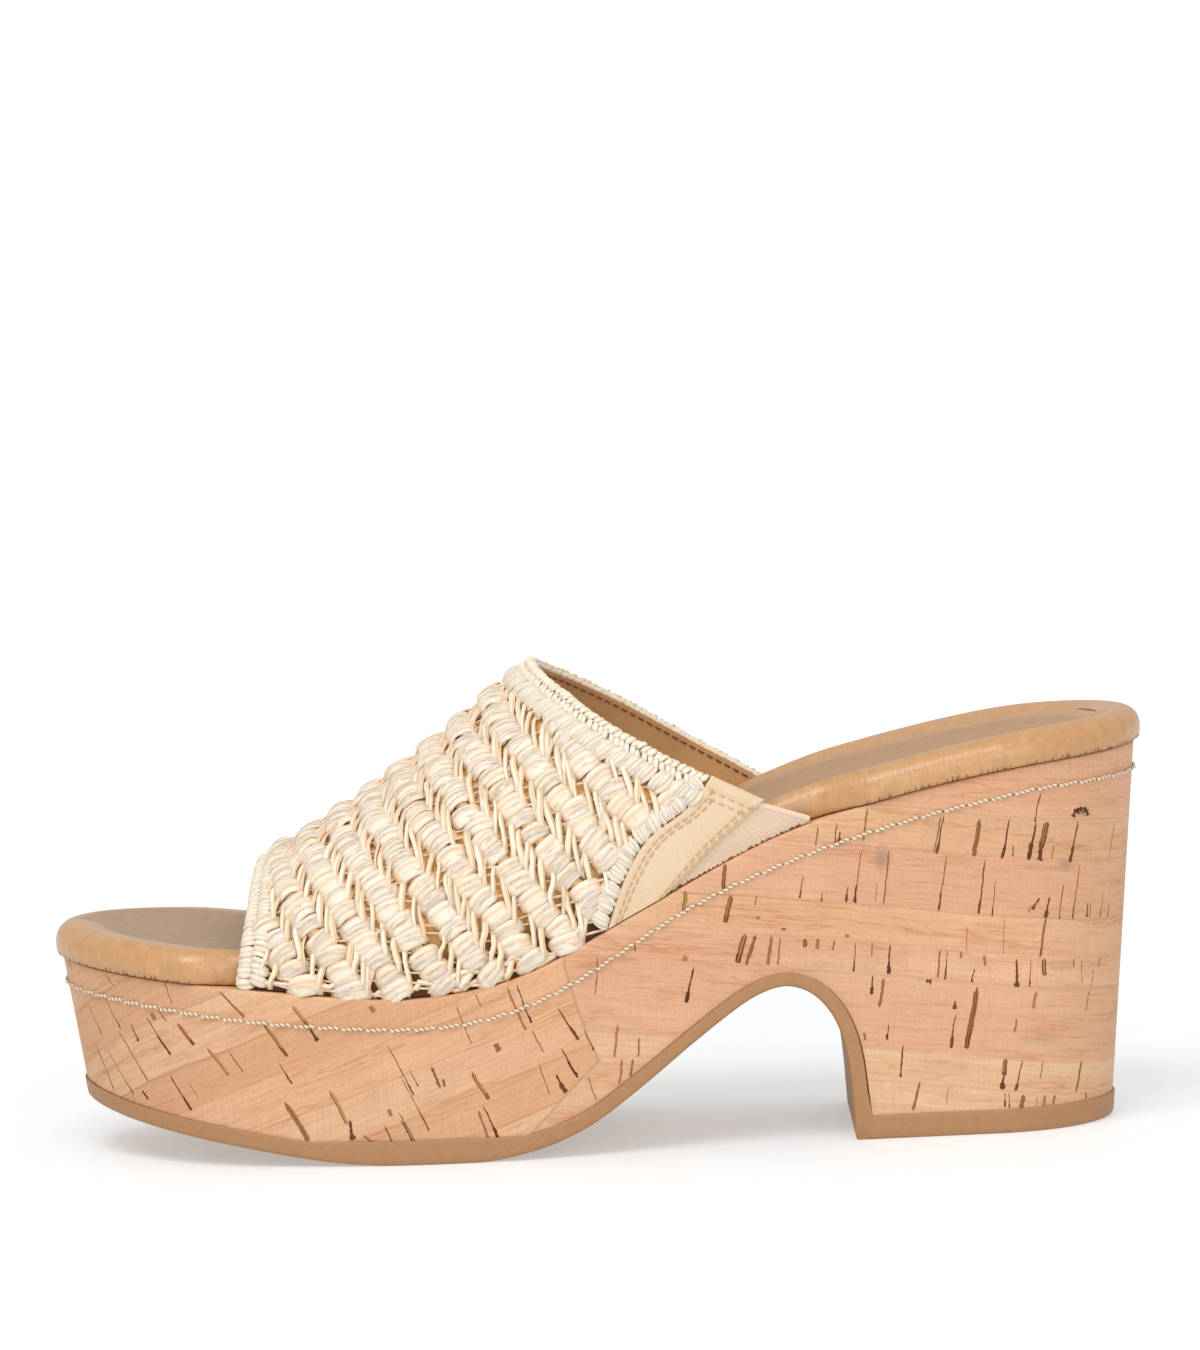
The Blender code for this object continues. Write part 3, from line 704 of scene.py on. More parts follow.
# Slits in the cork, read by eye too; the script also dropped doubles and sorted them. A row is the upper
# end, shift along the shoe and drop to the lower end, width, and kind: 0 dark, 1 golden with a dark
# outline, 2 thin and brown.
CORK_SLITS = columns(
    "from_heel height shift drop width kind",
    (4.6, 69.1, 1.1, 8.8, 0.3, 2), (5.2, 49.8, 0.3, 2.7, 0.4, 0), (7.1, 52.7, 0.4, 5.4, 0.3, 0),
    (7.4, 38, 0.3, 2.1, 0.3, 2), (9.2, 35.6, 0.4, 4.3, 0.3, 2), (10.2, 30.9, 0.6, 4.8, 0.3, 2),
    (10.3, 7.4, -0.1, 1.5, 0.5, 2), (10.4, 50.8, 0.2, 3, 0.4, 0), (11.1, 51.2, 0.3, 3.2, 0.6, 0),
    (11.9, 15, 1.4, 7.1, 0.6, 1), (12.4, 38.3, 0.1, 5.4, 0.2, 2), (13.3, 60.5, 1.8, 12.5, 0.4, 0),
    (14.2, 70.4, 1.7, 9.3, 0.8, 0), (14.6, 38.9, 0, 1.9, 0.4, 2), (14.9, 72.7, 0.5, 1.3, 1.2, 0),
    (14.1, 73.3, 0.6, 1.0, 1.7, 0), (13.4, 73.5, 0.2, 1.0, 1.9, 0), (12.7, 73.3, -0.5, 1.0, 1.7, 0),
    (12.1, 72.6, -0.4, 1.3, 1.2, 0),
    (17.4, 56.3, 1, 8, 0.4, 0), (19.6, 7.8, 0.5, 1.9, 0.7, 2), (20, 65.3, 0.6, 3.2, 0.3, 2),
    (21.1, 53.7, 1.2, 4.8, 0.8, 0), (21.5, 70.8, 1.7, 5.8, 1.5, 1), (22.1, 49.2, 1.3, 9.1, 0.6, 1),
    (22.3, 39.5, -0.2, 3.8, 1.1, 1), (22.3, 8.1, 0.3, 2.4, 0.7, 2), (22.8, 15.9, 0.8, 3.8, 0.3, 2),
    (23, 77.7, 1.1, 6.7, 0.5, 0), (23.2, 65, 0.6, 2.8, 1.8, 0), (24.2, 71, 1.8, 8.5, 0.9, 0),
    (24.3, 32.1, 0.8, 3.8, 0.7, 1), (23.5, 53.5, 0.7, 0.9, 0.7, 0), (24.3, 52.6, 1.1, 1.5, 0.9, 0),
    (25.8, 51.2, 0.6, 0.4, 0.5, 2), (24.5, 7.8, 0.1, 2.7, 0.2, 2),
    (25.7, 39.8, 0.6, 6.5, 0.3, 0), (28.1, 16.6, 1.6, 6.9, 0.6, 0), (28.1, 8.6, 0.8, 3.3, 1.1, 2),
    (29.4, 40, 0.1, 6.5, 1.1, 0), (29.6, 26.2, 0.4, 3.1, 0.4, 2), (29.7, 66, 0.2, 2.4, 0.5, 0),
    (30.6, 72, 1.9, 8.8, 0.7, 0), (31.7, 9.4, 0.2, 3.6, 0.3, 0), (32.2, 49.4, 0.9, 8.1, 0.2, 0),
    (32.5, 17.2, 0.7, 3.8, 1.1, 1), (32.9, 9.4, 0.1, 3.4, 0.4, 0), (33, 13.3, 0.6, 3.1, 1.1, 0),
    (34, 58.1, 1.1, 8.1, 0.3, 0), (36.2, 63.3, 2, 12.6, 0.6, 0), (36.9, 41.2, 0, 2.4, 0.6, 2),
    (37.3, 72.3, 1.8, 8.3, 1.1, 1), (38.7, 33.9, 2.8, 13.9, 1.3, 1), (39.3, 38.3, 0.6, 3.2, 0.6, 0),
    (40.8, 48.1, 0.3, 5.7, 0.2, 2), (42.1, 42.3, 0.3, 1.6, 0.6, 2), (43.7, 28.1, 1, 7.9, 0.6, 0),
    (43.8, 31, 0.1, 1.9, 0.8, 0), (44.8, 64.5, 2.1, 12.6, 0.4, 0), (45.1, 42.7, 1, 6.7, 0.4, 0),
    (45.2, 73.7, 1.8, 8.8, 0.6, 0), (45.5, 11.7, 0.8, 4.6, 0.2, 2), (46.1, 73.5, 1.8, 8.3, 0.4, 2),
    (46.9, 43, 1, 6.5, 0.5, 2), (50.3, 35.9, -1.2, 0.2, 1.4, 0), (52.2, 13, 1.6, 6.7, 0.6, 2),
    (55.7, 21.6, 0.7, 7.5, 0.7, 0), (58, 66.2, 1.6, 12.3, 0.4, 2), (58.1, 44.6, 0.7, 6.7, 0.8, 0),
    (59, 26.2, 0.6, 3.4, 0.5, 0), (59.8, 37.1, 1, 6.7, 0.7, 2), (60.9, 58.8, 0.4, 4, 0.2, 2),
    (62.2, 45.3, 0.3, 3.2, 0.3, 2), (62.2, 37.7, 0.7, 4.3, 0.7, 0), (62.4, 75.8, 1.1, 7.2, 0.5, 1),
    (64.1, 66.5, 1.7, 12, 0.4, 0), (64.5, 24.7, -0.1, 1.7, 0.6, 2), (65.4, 58.5, 0.5, 4, 0.6, 0),
    (66.1, 45.5, 0.5, 6.7, 0.4, 0), (67.3, 58.3, 0.4, 3.5, 0.5, 0), (68.3, 47.2, -1, 0.3, 0.6, 2),
    (68.8, 71, 0.5, 3.2, 0.8, 0), (69.6, 72.9, 0.7, 5.1, 0.5, 0), (70.6, 46.3, 0.3, 2.4, 0.4, 2),
    (73.1, 57.2, 0.2, 1.9, 0.4, 0), (73.8, 72.3, 0.7, 4.3, 0.4, 2), (74.3, 46.8, 0.3, 2.4, 0.9, 2),
    (77.3, 46.9, 0, 1.9, 1, 2), (77.5, 61.5, 0.9, 5.3, 0.4, 0), (82.6, 49.4, -1, 0.1, 0.7, 2),
    (82.9, 47.6, 0.8, 6.3, 0.4, 1), (84.9, 48.1, 1.1, 6.7, 0.9, 2), (88.1, 57.3, 0.2, 2.2, 0.3, 2),
    (88.4, 52.4, -1, 0.1, 0.7, 2), (88.5, 48.5, 2, 6.8, 0.9, 2), (90.9, 48.7, 1.6, 6.4, 1.4, 1),
    (93.8, 57.8, 1.6, 6.2, 1.2, 1), (95, 65, 0.6, 5.9, 1, 1), (102.5, 42, 1.9, 8.1, 0.8, 0),
    (104, 59.4, 0.6, 4.6, 0.9, 1), (104.5, 44.6, 0, 1.2, 1.1, 2), (115.4, 26.6, 0.4, 4.4, 0.4, 2),
    (115.7, 47.7, 0, 1.4, 0.4, 2), (116.9, 21.7, 0.7, 3.8, 0.6, 2), (119.4, 21.8, 1, 5.5, 0.6, 2),
    (120.2, 29.9, 1.1, 7.4, 0.6, 2), (124.3, 45.8, 0.5, 8.9, 0.3, 2), (127.1, 18.5, -1.7, 5.7, 0.3, 2),
    (127.6, 29, -2, 4.8, 0.4, 0), (132.9, 25.2, -3.3, 6.9, 0.6, 0), (133.6, 34.4, -4.4, 7.5, 0.7, 0),
    (134.2, 19.4, -2, 4.3, 1, 0), (138.1, 21.9, -2.5, 7.3, 0.3, 2), (139.5, 29.7, -2.5, 5.1, 0.3, 1),
    (142.6, 40.4, -3.2, 9, 0.6, 0), (144.8, 40, -4, 10.2, 0.6, 2), (147.7, 27.1, -0.8, 1.7, 1.3, 2),
    (151, 13.1, -3.2, 7.9, 0.6, 0), (151.9, 38.7, -1.2, 3.1, 0.3, 2), (152.1, 12.1, -2.7, 7.3, 0.6, 2),
    (153.1, 21, -3.3, 6.5, 0.9, 1), (156.3, 36.4, -3.5, 9, 0.3, 2), (159.7, 19.6, -0.5, 1.7, 0.7, 2),
    (162.3, 22.5, -2.3, 4.8, 0.7, 2), (167.4, 22.1, -2, 3.9, 0.3, 0), (169.4, 20.6, -6.6, 12.8, 0.3, 0),
    (169.8, 10.6, -3.3, 6, 0.6, 0), (170.2, 12.2, -3.9, 7.5, 0.4, 0), (172.2, 28, -5.1, 11.8, 0.4, 0),
    (172.5, 13.1, -0.5, 1.6, 1, 2), (173.5, 9.3, -2.7, 4.9, 0.6, 0), (175.6, 36.9, -1, 1.4, 1.2, 2),
    (178.6, 7.2, -3.6, 2.8, 0.5, 1), (181.4, 10.8, -0.9, 4.6, 1.3, 0), (185.6, 17.6, -3.9, 7.7, 0.8, 1),
    (189.3, 31.8, -1.5, 2.7, 1, 0), (193, 37.2, -3.8, 5.5, 0.8, 1), (196.1, 15, -4.7, 8.8, 1.3, 1),
    (196.8, 24, -3, 4.7, 0.4, 0), (199.8, 33.3, -5.3, 7.7, 0.8, 1), (208.2, 26.8, -2.5, 4.6, 0.4, 0),
    (209.4, 40.6, -5.1, 5.9, 0.6, 2), (213.5, 27.5, -4.6, 6.1, 0.7, 1), (218.6, 19, -1.8, 3.2, 0.3, 2),
    (219.8, 32.9, -3.3, 4.8, 0.9, 1), (222.1, 42.9, -1.9, 5.4, 0.4, 2), (223.1, 20.7, -4.6, 7.9, 0.6, 0),
    (224.1, 35.7, -1.5, 2.6, 0.4, 2), (226, 35, -0.8, 1.6, 1.1, 2), (227.5, 33.8, -4.9, 8.4, 0.5, 0),
    (230.9, 16.4, -1.3, 1.8, 1.2, 0), (231.4, 32, -1.1, 4, 0.6, 0), (234.8, 29.7, -6.2, 10.9, 0.4, 1),
    (235.8, 42.8, -1.3, 2.3, 0.4, 2), (237.2, 37.6, -3.1, 7, 0.4, 0), (238.8, 25.2, -5.3, 10, 0.3, 0),
    (241.7, 25.5, -3.3, 9.6, 0.5, 0), (241.8, 35.2, -2.3, 7, 0.3, 0), (245.4, 44.1, -0.6, 1.7, 0.4, 2),
)


def set_stops(made, stops, mode="LINEAR"):
    """Give a colour ramp its stops, a place and a colour each."""
    bar = made.node.color_ramp
    bar.interpolation = mode
    while len(bar.elements) < len(stops):
        bar.elements.new(1.0)
    for element, (position, shade) in zip(bar.elements, stops):
        element.position, element.color = position, shade


def painted(tree, body, *layers):
    """Go over a body layer by layer. A layer is a share and the colour to lay on by it, or a pattern and
    the low and high level between which the body is darkened and lightened by it."""
    for value, *how in layers:
        if len(how) == 2:
            level = add(tree, "ShaderNodeMapRange", {"Value": value, "To Min": how[0], "To Max": how[1]})
            share, top, blend = 1.0, level, "MULTIPLY"
        else:
            share, top, blend = value, colour(how[0]), "MIX"
        body = add(tree, "ShaderNodeMix", {0: share, 6: body, 7: top}, 2, data_type="RGBA", blend_type=blend)
    return body


def near(tree, value, middle, reach, share, start=0.0):
    """A share at a middle value, falling to none at a reach either side."""
    apart = add(tree, "ShaderNodeMath", {0: value, 1: middle}, operation="SUBTRACT")
    apart = add(tree, "ShaderNodeMath", {0: apart}, operation="ABSOLUTE")
    return add(tree, "ShaderNodeMapRange", {"Value": apart, "From Min": start, "From Max": reach,
                                            "To Min": share, "To Max": 0.0})


def fibre_skin(name, light, shade, shade_gold, rough, streaks, side_shade):
    """Dried strand: pale, split along its length by fine lines, with a painted golden shade where it tucks
    under the next and on its sides, which show in the creases.

    The lines are drawn streaks to the width of a strand, coarser than real fibres.
    """
    material, tree, skin = new_material(name)
    run, across, tone, tuck_shade = (add(tree, "ShaderNodeAttribute", out="Fac", attribute_name=label)
                               for label in ("run", "across", "tone", "tuck_shade"))
    length, width, apart, turn = (
        add(tree, "ShaderNodeMath", {0: value, 1: times}, operation="MULTIPLY")
        for value, times in ((run, 0.35), (across, streaks), (tone, 61.0), (across, math.tau)))
    place = add(tree, "ShaderNodeCombineXYZ", {"X": length, "Y": width, "Z": apart})
    lines = add(tree, "ShaderNodeTexNoise", {"Vector": place, "Scale": 1.0, "Detail": 3.0})
    lines = add(tree, "ShaderNodeMapRange", {"Value": lines, "From Min": 0.3, "From Max": 0.7})
    pale = add(tree, "ShaderNodeMix", {0: tone, 6: colour(shade), 7: colour(light)}, 2, data_type="RGBA")
    pale = painted(tree, pale, (lines, 0.95, 1.02))
    # The section's place is 0 on the outer face, a quarter at each side; the sides show in the creases and
    # take the painted golden shade.
    facing = add(tree, "ShaderNodeMath", {0: turn}, operation="COSINE")
    crease = add(tree, "ShaderNodeMapRange", {"Value": facing, "From Min": 0.35, "From Max": -0.35,
                                              "To Max": side_shade})
    shade_share = add(tree, "ShaderNodeMath", {0: tuck_shade, 1: crease}, operation="MAXIMUM")
    ridge = add(tree, "ShaderNodeBump", {"Height": lines, "Strength": 0.28, "Distance": 0.0002})
    plug(tree, skin, {"Base Color": painted(tree, pale, (shade_share, shade_gold)), "Normal": ridge, "Roughness": rough,
                      "Specular IOR Level": 0.45, "Sheen Weight": 0.15, "Subsurface Weight": 0.3,
                      "Subsurface Radius": (1.0, 0.7, 0.4), "Subsurface Scale": 0.0016})
    return material


def leather_skin(name, base, dark, grain, depth, rough, sheen=0.0, spread=0.35, seat=False):
    """Leather: a pebbled grain of a size in millimetres, with soft lighter and darker clouds."""
    material, tree, skin = new_material(name)
    place = add(tree, "ShaderNodeTexCoord", out="Object")
    cells = add(tree, "ShaderNodeTexVoronoi", {"Vector": place, "Scale": 1000.0 / grain}, "Distance",
                feature="SMOOTH_F1")
    clouds = add(tree, "ShaderNodeTexNoise", {"Vector": place, "Scale": 1000.0 / 14, "Detail": 4.0})
    clouds = add(tree, "ShaderNodeMapRange", {"Value": clouds, "From Min": 0.35, "From Max": 0.65,
                                              "To Max": spread})
    body = add(tree, "ShaderNodeMix", {0: clouds, 6: colour(base), 7: colour(dark)}, 2, data_type="RGBA")
    body = painted(tree, body, (cells, 0.93, 1.06))
    height = add(tree, "ShaderNodeMath", {0: cells, 1: depth * MM}, operation="MULTIPLY")
    gloss = rough
    if seat:
        body, height, gloss = rolled_seat_with_sheen(tree, place, clouds, body, height, rough)
    bump = add(tree, "ShaderNodeBump", {"Height": height, "Strength": 1.0, "Distance": 1.0})
    plug(tree, skin, {"Base Color": body, "Normal": bump, "Roughness": gloss, "Sheen Weight": sheen,
                      "Specular IOR Level": 0.6 if seat else 0.4})
    return material


def rolled_seat_with_sheen(tree, place, clouds, body, height, rough):
    """The cushion's looks over plain leather: fine folds across the roll, where the leather is drawn
    round its bend, and inside it the foot's seat, matt, in a taupe-grey that is a painted sheen on the same
    leather."""
    flat = add(tree, "ShaderNodeUVMap", uv_map="sheet")
    drawn = add(tree, "ShaderNodeMapping", {"Vector": flat, "Scale": (1500.0, 130.0, 1.0)})
    folds = add(tree, "ShaderNodeTexNoise", {"Vector": drawn, "Scale": 1.0, "Detail": 3.0})
    streak = add(tree, "ShaderNodeMapRange", {"Value": folds, "From Min": 0.3, "From Max": 0.7})
    body = painted(tree, body, (streak, 0.93, 1.05))
    folds = add(tree, "ShaderNodeMath", {0: folds, 1: 0.12 * MM}, operation="MULTIPLY")
    height = add(tree, "ShaderNodeMath", {0: height, 1: folds})
    inward = add(tree, "ShaderNodeAttribute", out="Fac", attribute_name="inward")
    edge = add(tree, "ShaderNodeMapRange", {"Value": inward, "From Min": 4.6, "From Max": 9.5})
    along = add(tree, "ShaderNodeSeparateXYZ", {0: place}, "X")
    along = add(tree, "ShaderNodeMapRange", {"Value": along, "From Min": -0.06, "From Max": 0.06})
    # The seat's taupe-grey, greyer at the toe, is a painted sheen: the grazing reflection on the same tan
    # leather.
    shade = painted(tree, colour("#A48568"), (along, "#AE845B"), (clouds, "#9B8268"))
    body = add(tree, "ShaderNodeMix", {0: edge, 6: body, 7: shade}, 2, data_type="RGBA")
    rubbed = add(tree, "ShaderNodeTexNoise", {"Vector": place, "Scale": 1000.0 / 2.5, "Detail": 5.0})
    rubbed = add(tree, "ShaderNodeMapRange", {"Value": rubbed, "From Min": 0.35, "From Max": 0.65})
    body = painted(tree, body, (rubbed, 0.94, 1.05))
    # A painted highlight lies pale over the roll's crest at the toe, and a thin greyer line runs along
    # the seat's edge.
    toe = add(tree, "ShaderNodeMapRange", {"Value": along, "To Min": 1.0, "To Max": 0.0})
    crest = add(tree, "ShaderNodeMath", {0: near(tree, inward, 7.0, 3.2, 0.5), 1: toe},
                operation="MULTIPLY")
    body = painted(tree, body, (crest, "#C1A280"), (near(tree, inward, 7.2, 0.7, 0.55), "#A79682"))
    gloss = add(tree, "ShaderNodeMapRange", {"Value": edge, "To Min": rough, "To Max": 0.62})
    return body, height, gloss


def cork_strips(tree, around, waver, label, joints, tones, spread):
    """One set of strips: its joints, tones, blocks along each strip, and the way that grain lies."""
    level = add(tree, "ShaderNodeAttribute", out="Fac", attribute_name=label)
    level = add(tree, "ShaderNodeMath", {0: level, 1: waver})
    low, high = joints[0] - 12, joints[-1] + 12
    share = add(tree, "ShaderNodeMapRange", {"Value": level, "From Min": low, "From Max": high})
    half = JOINT_HALF / (high - low)
    places = [(at - low) / (high - low) for at in joints]
    starts = [0, *places]
    lines = [(0, (0, 0, 0, 1))] + [(at + side * half, (1 - abs(side),) * 3 + (1,))
                                   for at in places for side in (-1, 0, 1)]
    greys = [(i * 0.37 + 0.15) % 1 for i in range(len(tones))]
    strip, joint, number = (add(tree, "ShaderNodeValToRGB", {"Fac": share}) for _ in range(3))
    set_stops(strip, [(at, colour(code)) for at, code in zip(starts, tones)], "CONSTANT")
    set_stops(joint, lines)
    set_stops(number, [(at, (grey, grey, grey, 1)) for at, grey in zip(starts, greys)], "CONSTANT")
    start = add(tree, "ShaderNodeMath", {0: number, 1: 417.0}, operation="MULTIPLY")
    along = add(tree, "ShaderNodeMath", {0: around, 1: start})
    block = add(tree, "ShaderNodeMath", {0: along, 1: spread}, operation="DIVIDE")
    block = add(tree, "ShaderNodeTexVoronoi", {"W": block, "Scale": 1.0, "Randomness": 0.8}, "Color",
                voronoi_dimensions="1D")
    return joint, strip, block, add(tree, "ShaderNodeCombineXYZ", {"X": along, "Y": level, "Z": start})


def cork_sheets():
    """Cork bark sliced thin and pressed side by side in strips: each strip has its own peach or tan,
    wavering growth lines run along it and fine rays across it, joints are thin, and the skin is dry."""
    material, tree, skin = new_material("cork_sliced_and_pressed")
    flat = add(tree, "ShaderNodeUVMap", uv_map="sheet")
    around = add(tree, "ShaderNodeSeparateXYZ", {0: flat}, "X")
    around = add(tree, "ShaderNodeMath", {0: around, 1: 1000.0}, operation="MULTIPLY")
    waver = add(tree, "ShaderNodeTexNoise", {"Vector": flat, "Scale": 1000.0 / 16, "Detail": 4.0})
    waver = add(tree, "ShaderNodeMapRange", {"Value": waver, "To Min": -0.8, "To Max": 0.8})
    sets = [cork_strips(tree, around, waver, *strips)
            for strips in (("rear_level", REAR_JOINTS, REAR_TONES, 47.0),
                           ("fore_level", FORE_JOINTS, FORE_TONES, 34.0))]
    seam = add(tree, "ShaderNodeAttribute", out="Fac", attribute_name="seam")
    seam = add(tree, "ShaderNodeMath", {0: seam, 1: waver})
    fore = add(tree, "ShaderNodeMath", {0: seam, 1: 0.0}, operation="GREATER_THAN")
    joint, body, block, lie = [
        add(tree, "ShaderNodeMix", {0: fore, 6: rear, 7: front}, 2, data_type="RGBA")
        for rear, front in zip(*sets)]
    joint = add(tree, "ShaderNodeMath", {0: joint, 1: near(tree, seam, 0.0, 0.45, 1.0, 0.1)},
                operation="MAXIMUM")
    # Each pattern is a noise stretched along or across the strips, by lengths in millimetres, and most
    # are drawn out between two of its values.
    patterns = []
    for long, wide, detail, *ends in (
            (60, 5.0, 3.0, 0.35, 0.65), (34, 2.6, 4.0), (11, 0.55, 2.0, 0.3, 0.7),
            (0.5, 7.0, 2.0, 0.3, 0.7), (0.45, 0.35, 1.0, 0.3, 0.7), (9, 1.6, 3.0)):
        size = add(tree, "ShaderNodeMapping", {"Vector": lie, "Scale": (1 / long, 1 / wide, 1.0)})
        pattern = add(tree, "ShaderNodeTexNoise", {"Vector": size, "Scale": 1.0, "Detail": detail})
        if ends:
            pattern = add(tree, "ShaderNodeMapRange", {"Value": pattern, "From Min": ends[0],
                                                       "From Max": ends[1]})
        patterns.append(pattern)
    bands, contours, fine, rays, grain, ripples = patterns
    block = add(tree, "ShaderNodeSeparateColor", {0: block})
    body = painted(tree, body, (block, 0.955, 1.03), (fine, 0.91, 1.06), (rays, 0.96, 1.04),
                  (grain, 0.94, 1.08))
    warm = add(tree, "ShaderNodeMath", {0: bands, 1: 0.45}, operation="MULTIPLY")
    body = painted(tree, body, (warm, CORK_BAND))
    # A growth line shows where the slow noise passes its middle value.
    for slow, share, wide in ((contours, 0.6, 0.03), (ripples, 0.25, 0.04)):
        line = near(tree, slow, 0.5, wide, share)
        patchy = add(tree, "ShaderNodeMath", {0: line, 1: bands}, operation="MULTIPLY")
        body = painted(tree, body, (patchy, CORK_LINE))
    # Grey stains at a few places of the lateral side.
    spot = add(tree, "ShaderNodeTexCoord", out="Object")
    ragged = add(tree, "ShaderNodeTexNoise", {"Vector": spot, "Scale": 1000.0 / 2.2, "Detail": 4.0})
    for from_heel, up, wide, tall, share in CORK_STAINS:
        middle = (LENGTH / 2 - from_heel) * MM, -0.035, up * MM
        apart = add(tree, "ShaderNodeMapping", {"Vector": spot, "Location": middle,
                                                "Scale": (wide * MM, 0.03, tall * MM)}, vector_type="TEXTURE")
        apart = add(tree, "ShaderNodeVectorMath", {0: apart}, "Value", operation="LENGTH")
        apart = add(tree, "ShaderNodeMath", {0: apart, 1: ragged})
        stain = add(tree, "ShaderNodeMapRange", {"Value": apart, "From Min": 0.8, "From Max": 1.5,
                                                 "To Min": share, "To Max": 0.0})
        body = painted(tree, body, (stain, CORK_STAIN))
    joint_share = add(tree, "ShaderNodeMath", {0: joint, 1: 0.40}, operation="MULTIPLY")
    height = add(tree, "ShaderNodeMath", {0: fine, 1: grain})
    height = add(tree, "ShaderNodeMath", {0: height, 1: joint}, operation="SUBTRACT")
    bump = add(tree, "ShaderNodeBump", {"Height": height, "Strength": 0.6, "Distance": 0.05 * MM})
    plug(tree, skin, {"Base Color": painted(tree, body, (joint_share, CORK_JOINT)), "Normal": bump,
                      "Roughness": 0.62, "Specular IOR Level": 0.25})
    return material


def toned_skin(name, stops, rough, grain_mm=None, bump_mm=0.0, specular=0.35):
    """Plain stuff whose colour goes by each strand's tone, with a fine roughness of a grain size."""
    material, tree, skin = new_material(name)
    tone = add(tree, "ShaderNodeAttribute", out="Fac", attribute_name="tone")
    body = add(tree, "ShaderNodeValToRGB", {"Fac": tone})
    set_stops(body, [(position, colour(code)) for position, code in stops])
    if grain_mm:
        place = add(tree, "ShaderNodeTexCoord", out="Object")
        grain = add(tree, "ShaderNodeTexNoise", {"Vector": place, "Scale": 1000.0 / grain_mm, "Detail": 3.0})
        body = painted(tree, body, (grain, 0.86, 1.10))
        bump = add(tree, "ShaderNodeBump", {"Height": grain, "Strength": 1.0, "Distance": bump_mm * MM})
        plug(tree, skin, {"Normal": bump})
    plug(tree, skin, {"Base Color": body, "Roughness": rough, "Specular IOR Level": specular})
    return material


RAFFIA = fibre_skin("raffia_dried_and_wrapped", "#EDDCC9", "#E6D1B8", "#D59C50", 0.45, 12.0, 0.36)
RAFFIA_BAR = fibre_skin("raffia_single_strands", "#EFE0CB", "#E6D1B3", "#CF9448", 0.45, 6.0, 0.6)
RAFFIA_EDGE = fibre_skin("raffia_braided_fine", "#ECDFCC", "#E4D3BB", "#DDBB8A", 0.45, 7.0, 0.15)
RAFFIA_HEM = fibre_skin("raffia_wrapped_edges", "#E9DAC7", "#E2D0B8", "#D5A566", 0.5, 12.0, 0.2)
RAFFIA_CORE = fibre_skin("raffia_core_in_shade", "#DDBF90", "#CFA970", "#A87A45", 0.6, 5.0, 0.5)
CORK = cork_sheets()
SLITS = toned_skin("cork_lenticels", ((0.0, "#55301F"), (0.34, "#75442C"), (0.5, "#9A6444"),
                                      (0.66, "#A8724C"), (0.8, "#A9743F"), (1.0, "#C08E55")),
                   0.8, 0.6, 0.05, 0.15)
# The dark tone falls on one ply and the pale tone on the other: painted shade that shows the twist.
THREAD = toned_skin("waxed_linen_thread", ((0.0, "#AD9475"), (1.0, "#E2D5C1")), 0.5, 0.25, 0.03)
RUBBER = toned_skin("moulded_tan_rubber", ((0.0, "#A67A52"), (1.0, "#A67A52")), 0.55, 1.1, 0.03)
CUSHION_SKIN = leather_skin("calf_leather_over_foam", "#BD8E5D", "#B48353", 0.8, 0.05, 0.34, seat=True)
LINING_SKIN = leather_skin("suede_lining", "#CB9D68", "#BA8C5C", 0.5, 0.05, 0.75, sheen=0.25, spread=0.8)
LINING_BACK_SHADED = toned_skin("lining_flesh_side_shaded_low", ((0.0, "#5E3D24"), (1.0, "#DDAA68")), 0.85, 0.5, 0.05, 0.2)
TAB_SKIN = leather_skin("pale_smooth_leather", "#D3B999", "#CDB18D", 0.6, 0.02, 0.40, spread=0.4)
TAB_THREAD = toned_skin("tan_thread", ((0.0, "#C49F74"), (1.0, "#D0AF86")), 0.5, 0.3, 0.02)
LINING_THREAD = toned_skin("brown_thread", ((0.0, "#7A4F33"), (1.0, "#96694A")), 0.5, 0.3, 0.02)
ELASTIC = toned_skin("ribbed_elastic", ((0.0, "#CBAD92"), (1.0, "#DAC2AA")), 0.7, 0.3, 0.02)
HOLE_SHADE = toned_skin("needle_hole_shade", ((0.0, "#5A3A24"), (1.0, "#5A3A24")), 0.9)
PLEATS = toned_skin("leather_pleats_in_shade", ((0.0, "#5E3F22"), (1.0, "#9A7040")), 0.8)


def rim_out(rim):
    """Level outward normals at rim places."""
    return np.stack([rim.out_along, rim.out_side, 0 * rim.side], -1)


def wall_places(from_heel, height, hand, out):
    """Points on the platform's side for places seen from a side, and the outward normals there."""
    turn = np.arccos(np.clip(1 - 2 * from_heel / LENGTH, -1, 1))
    rim = rim_at(np.where(hand == LATERAL, turn, math.tau - turn))
    return wall_point(rim, height, out), rim_out(rim)


def foot_height(rim, line):
    """Height of a line of the sole below places of the rim, followed down the tapered side."""
    height = np.interp(rim.from_heel, *line)
    for _ in range(4):
        height = np.interp(wall_point(rim, height, 0.0)[:, 0], *line)
    return height


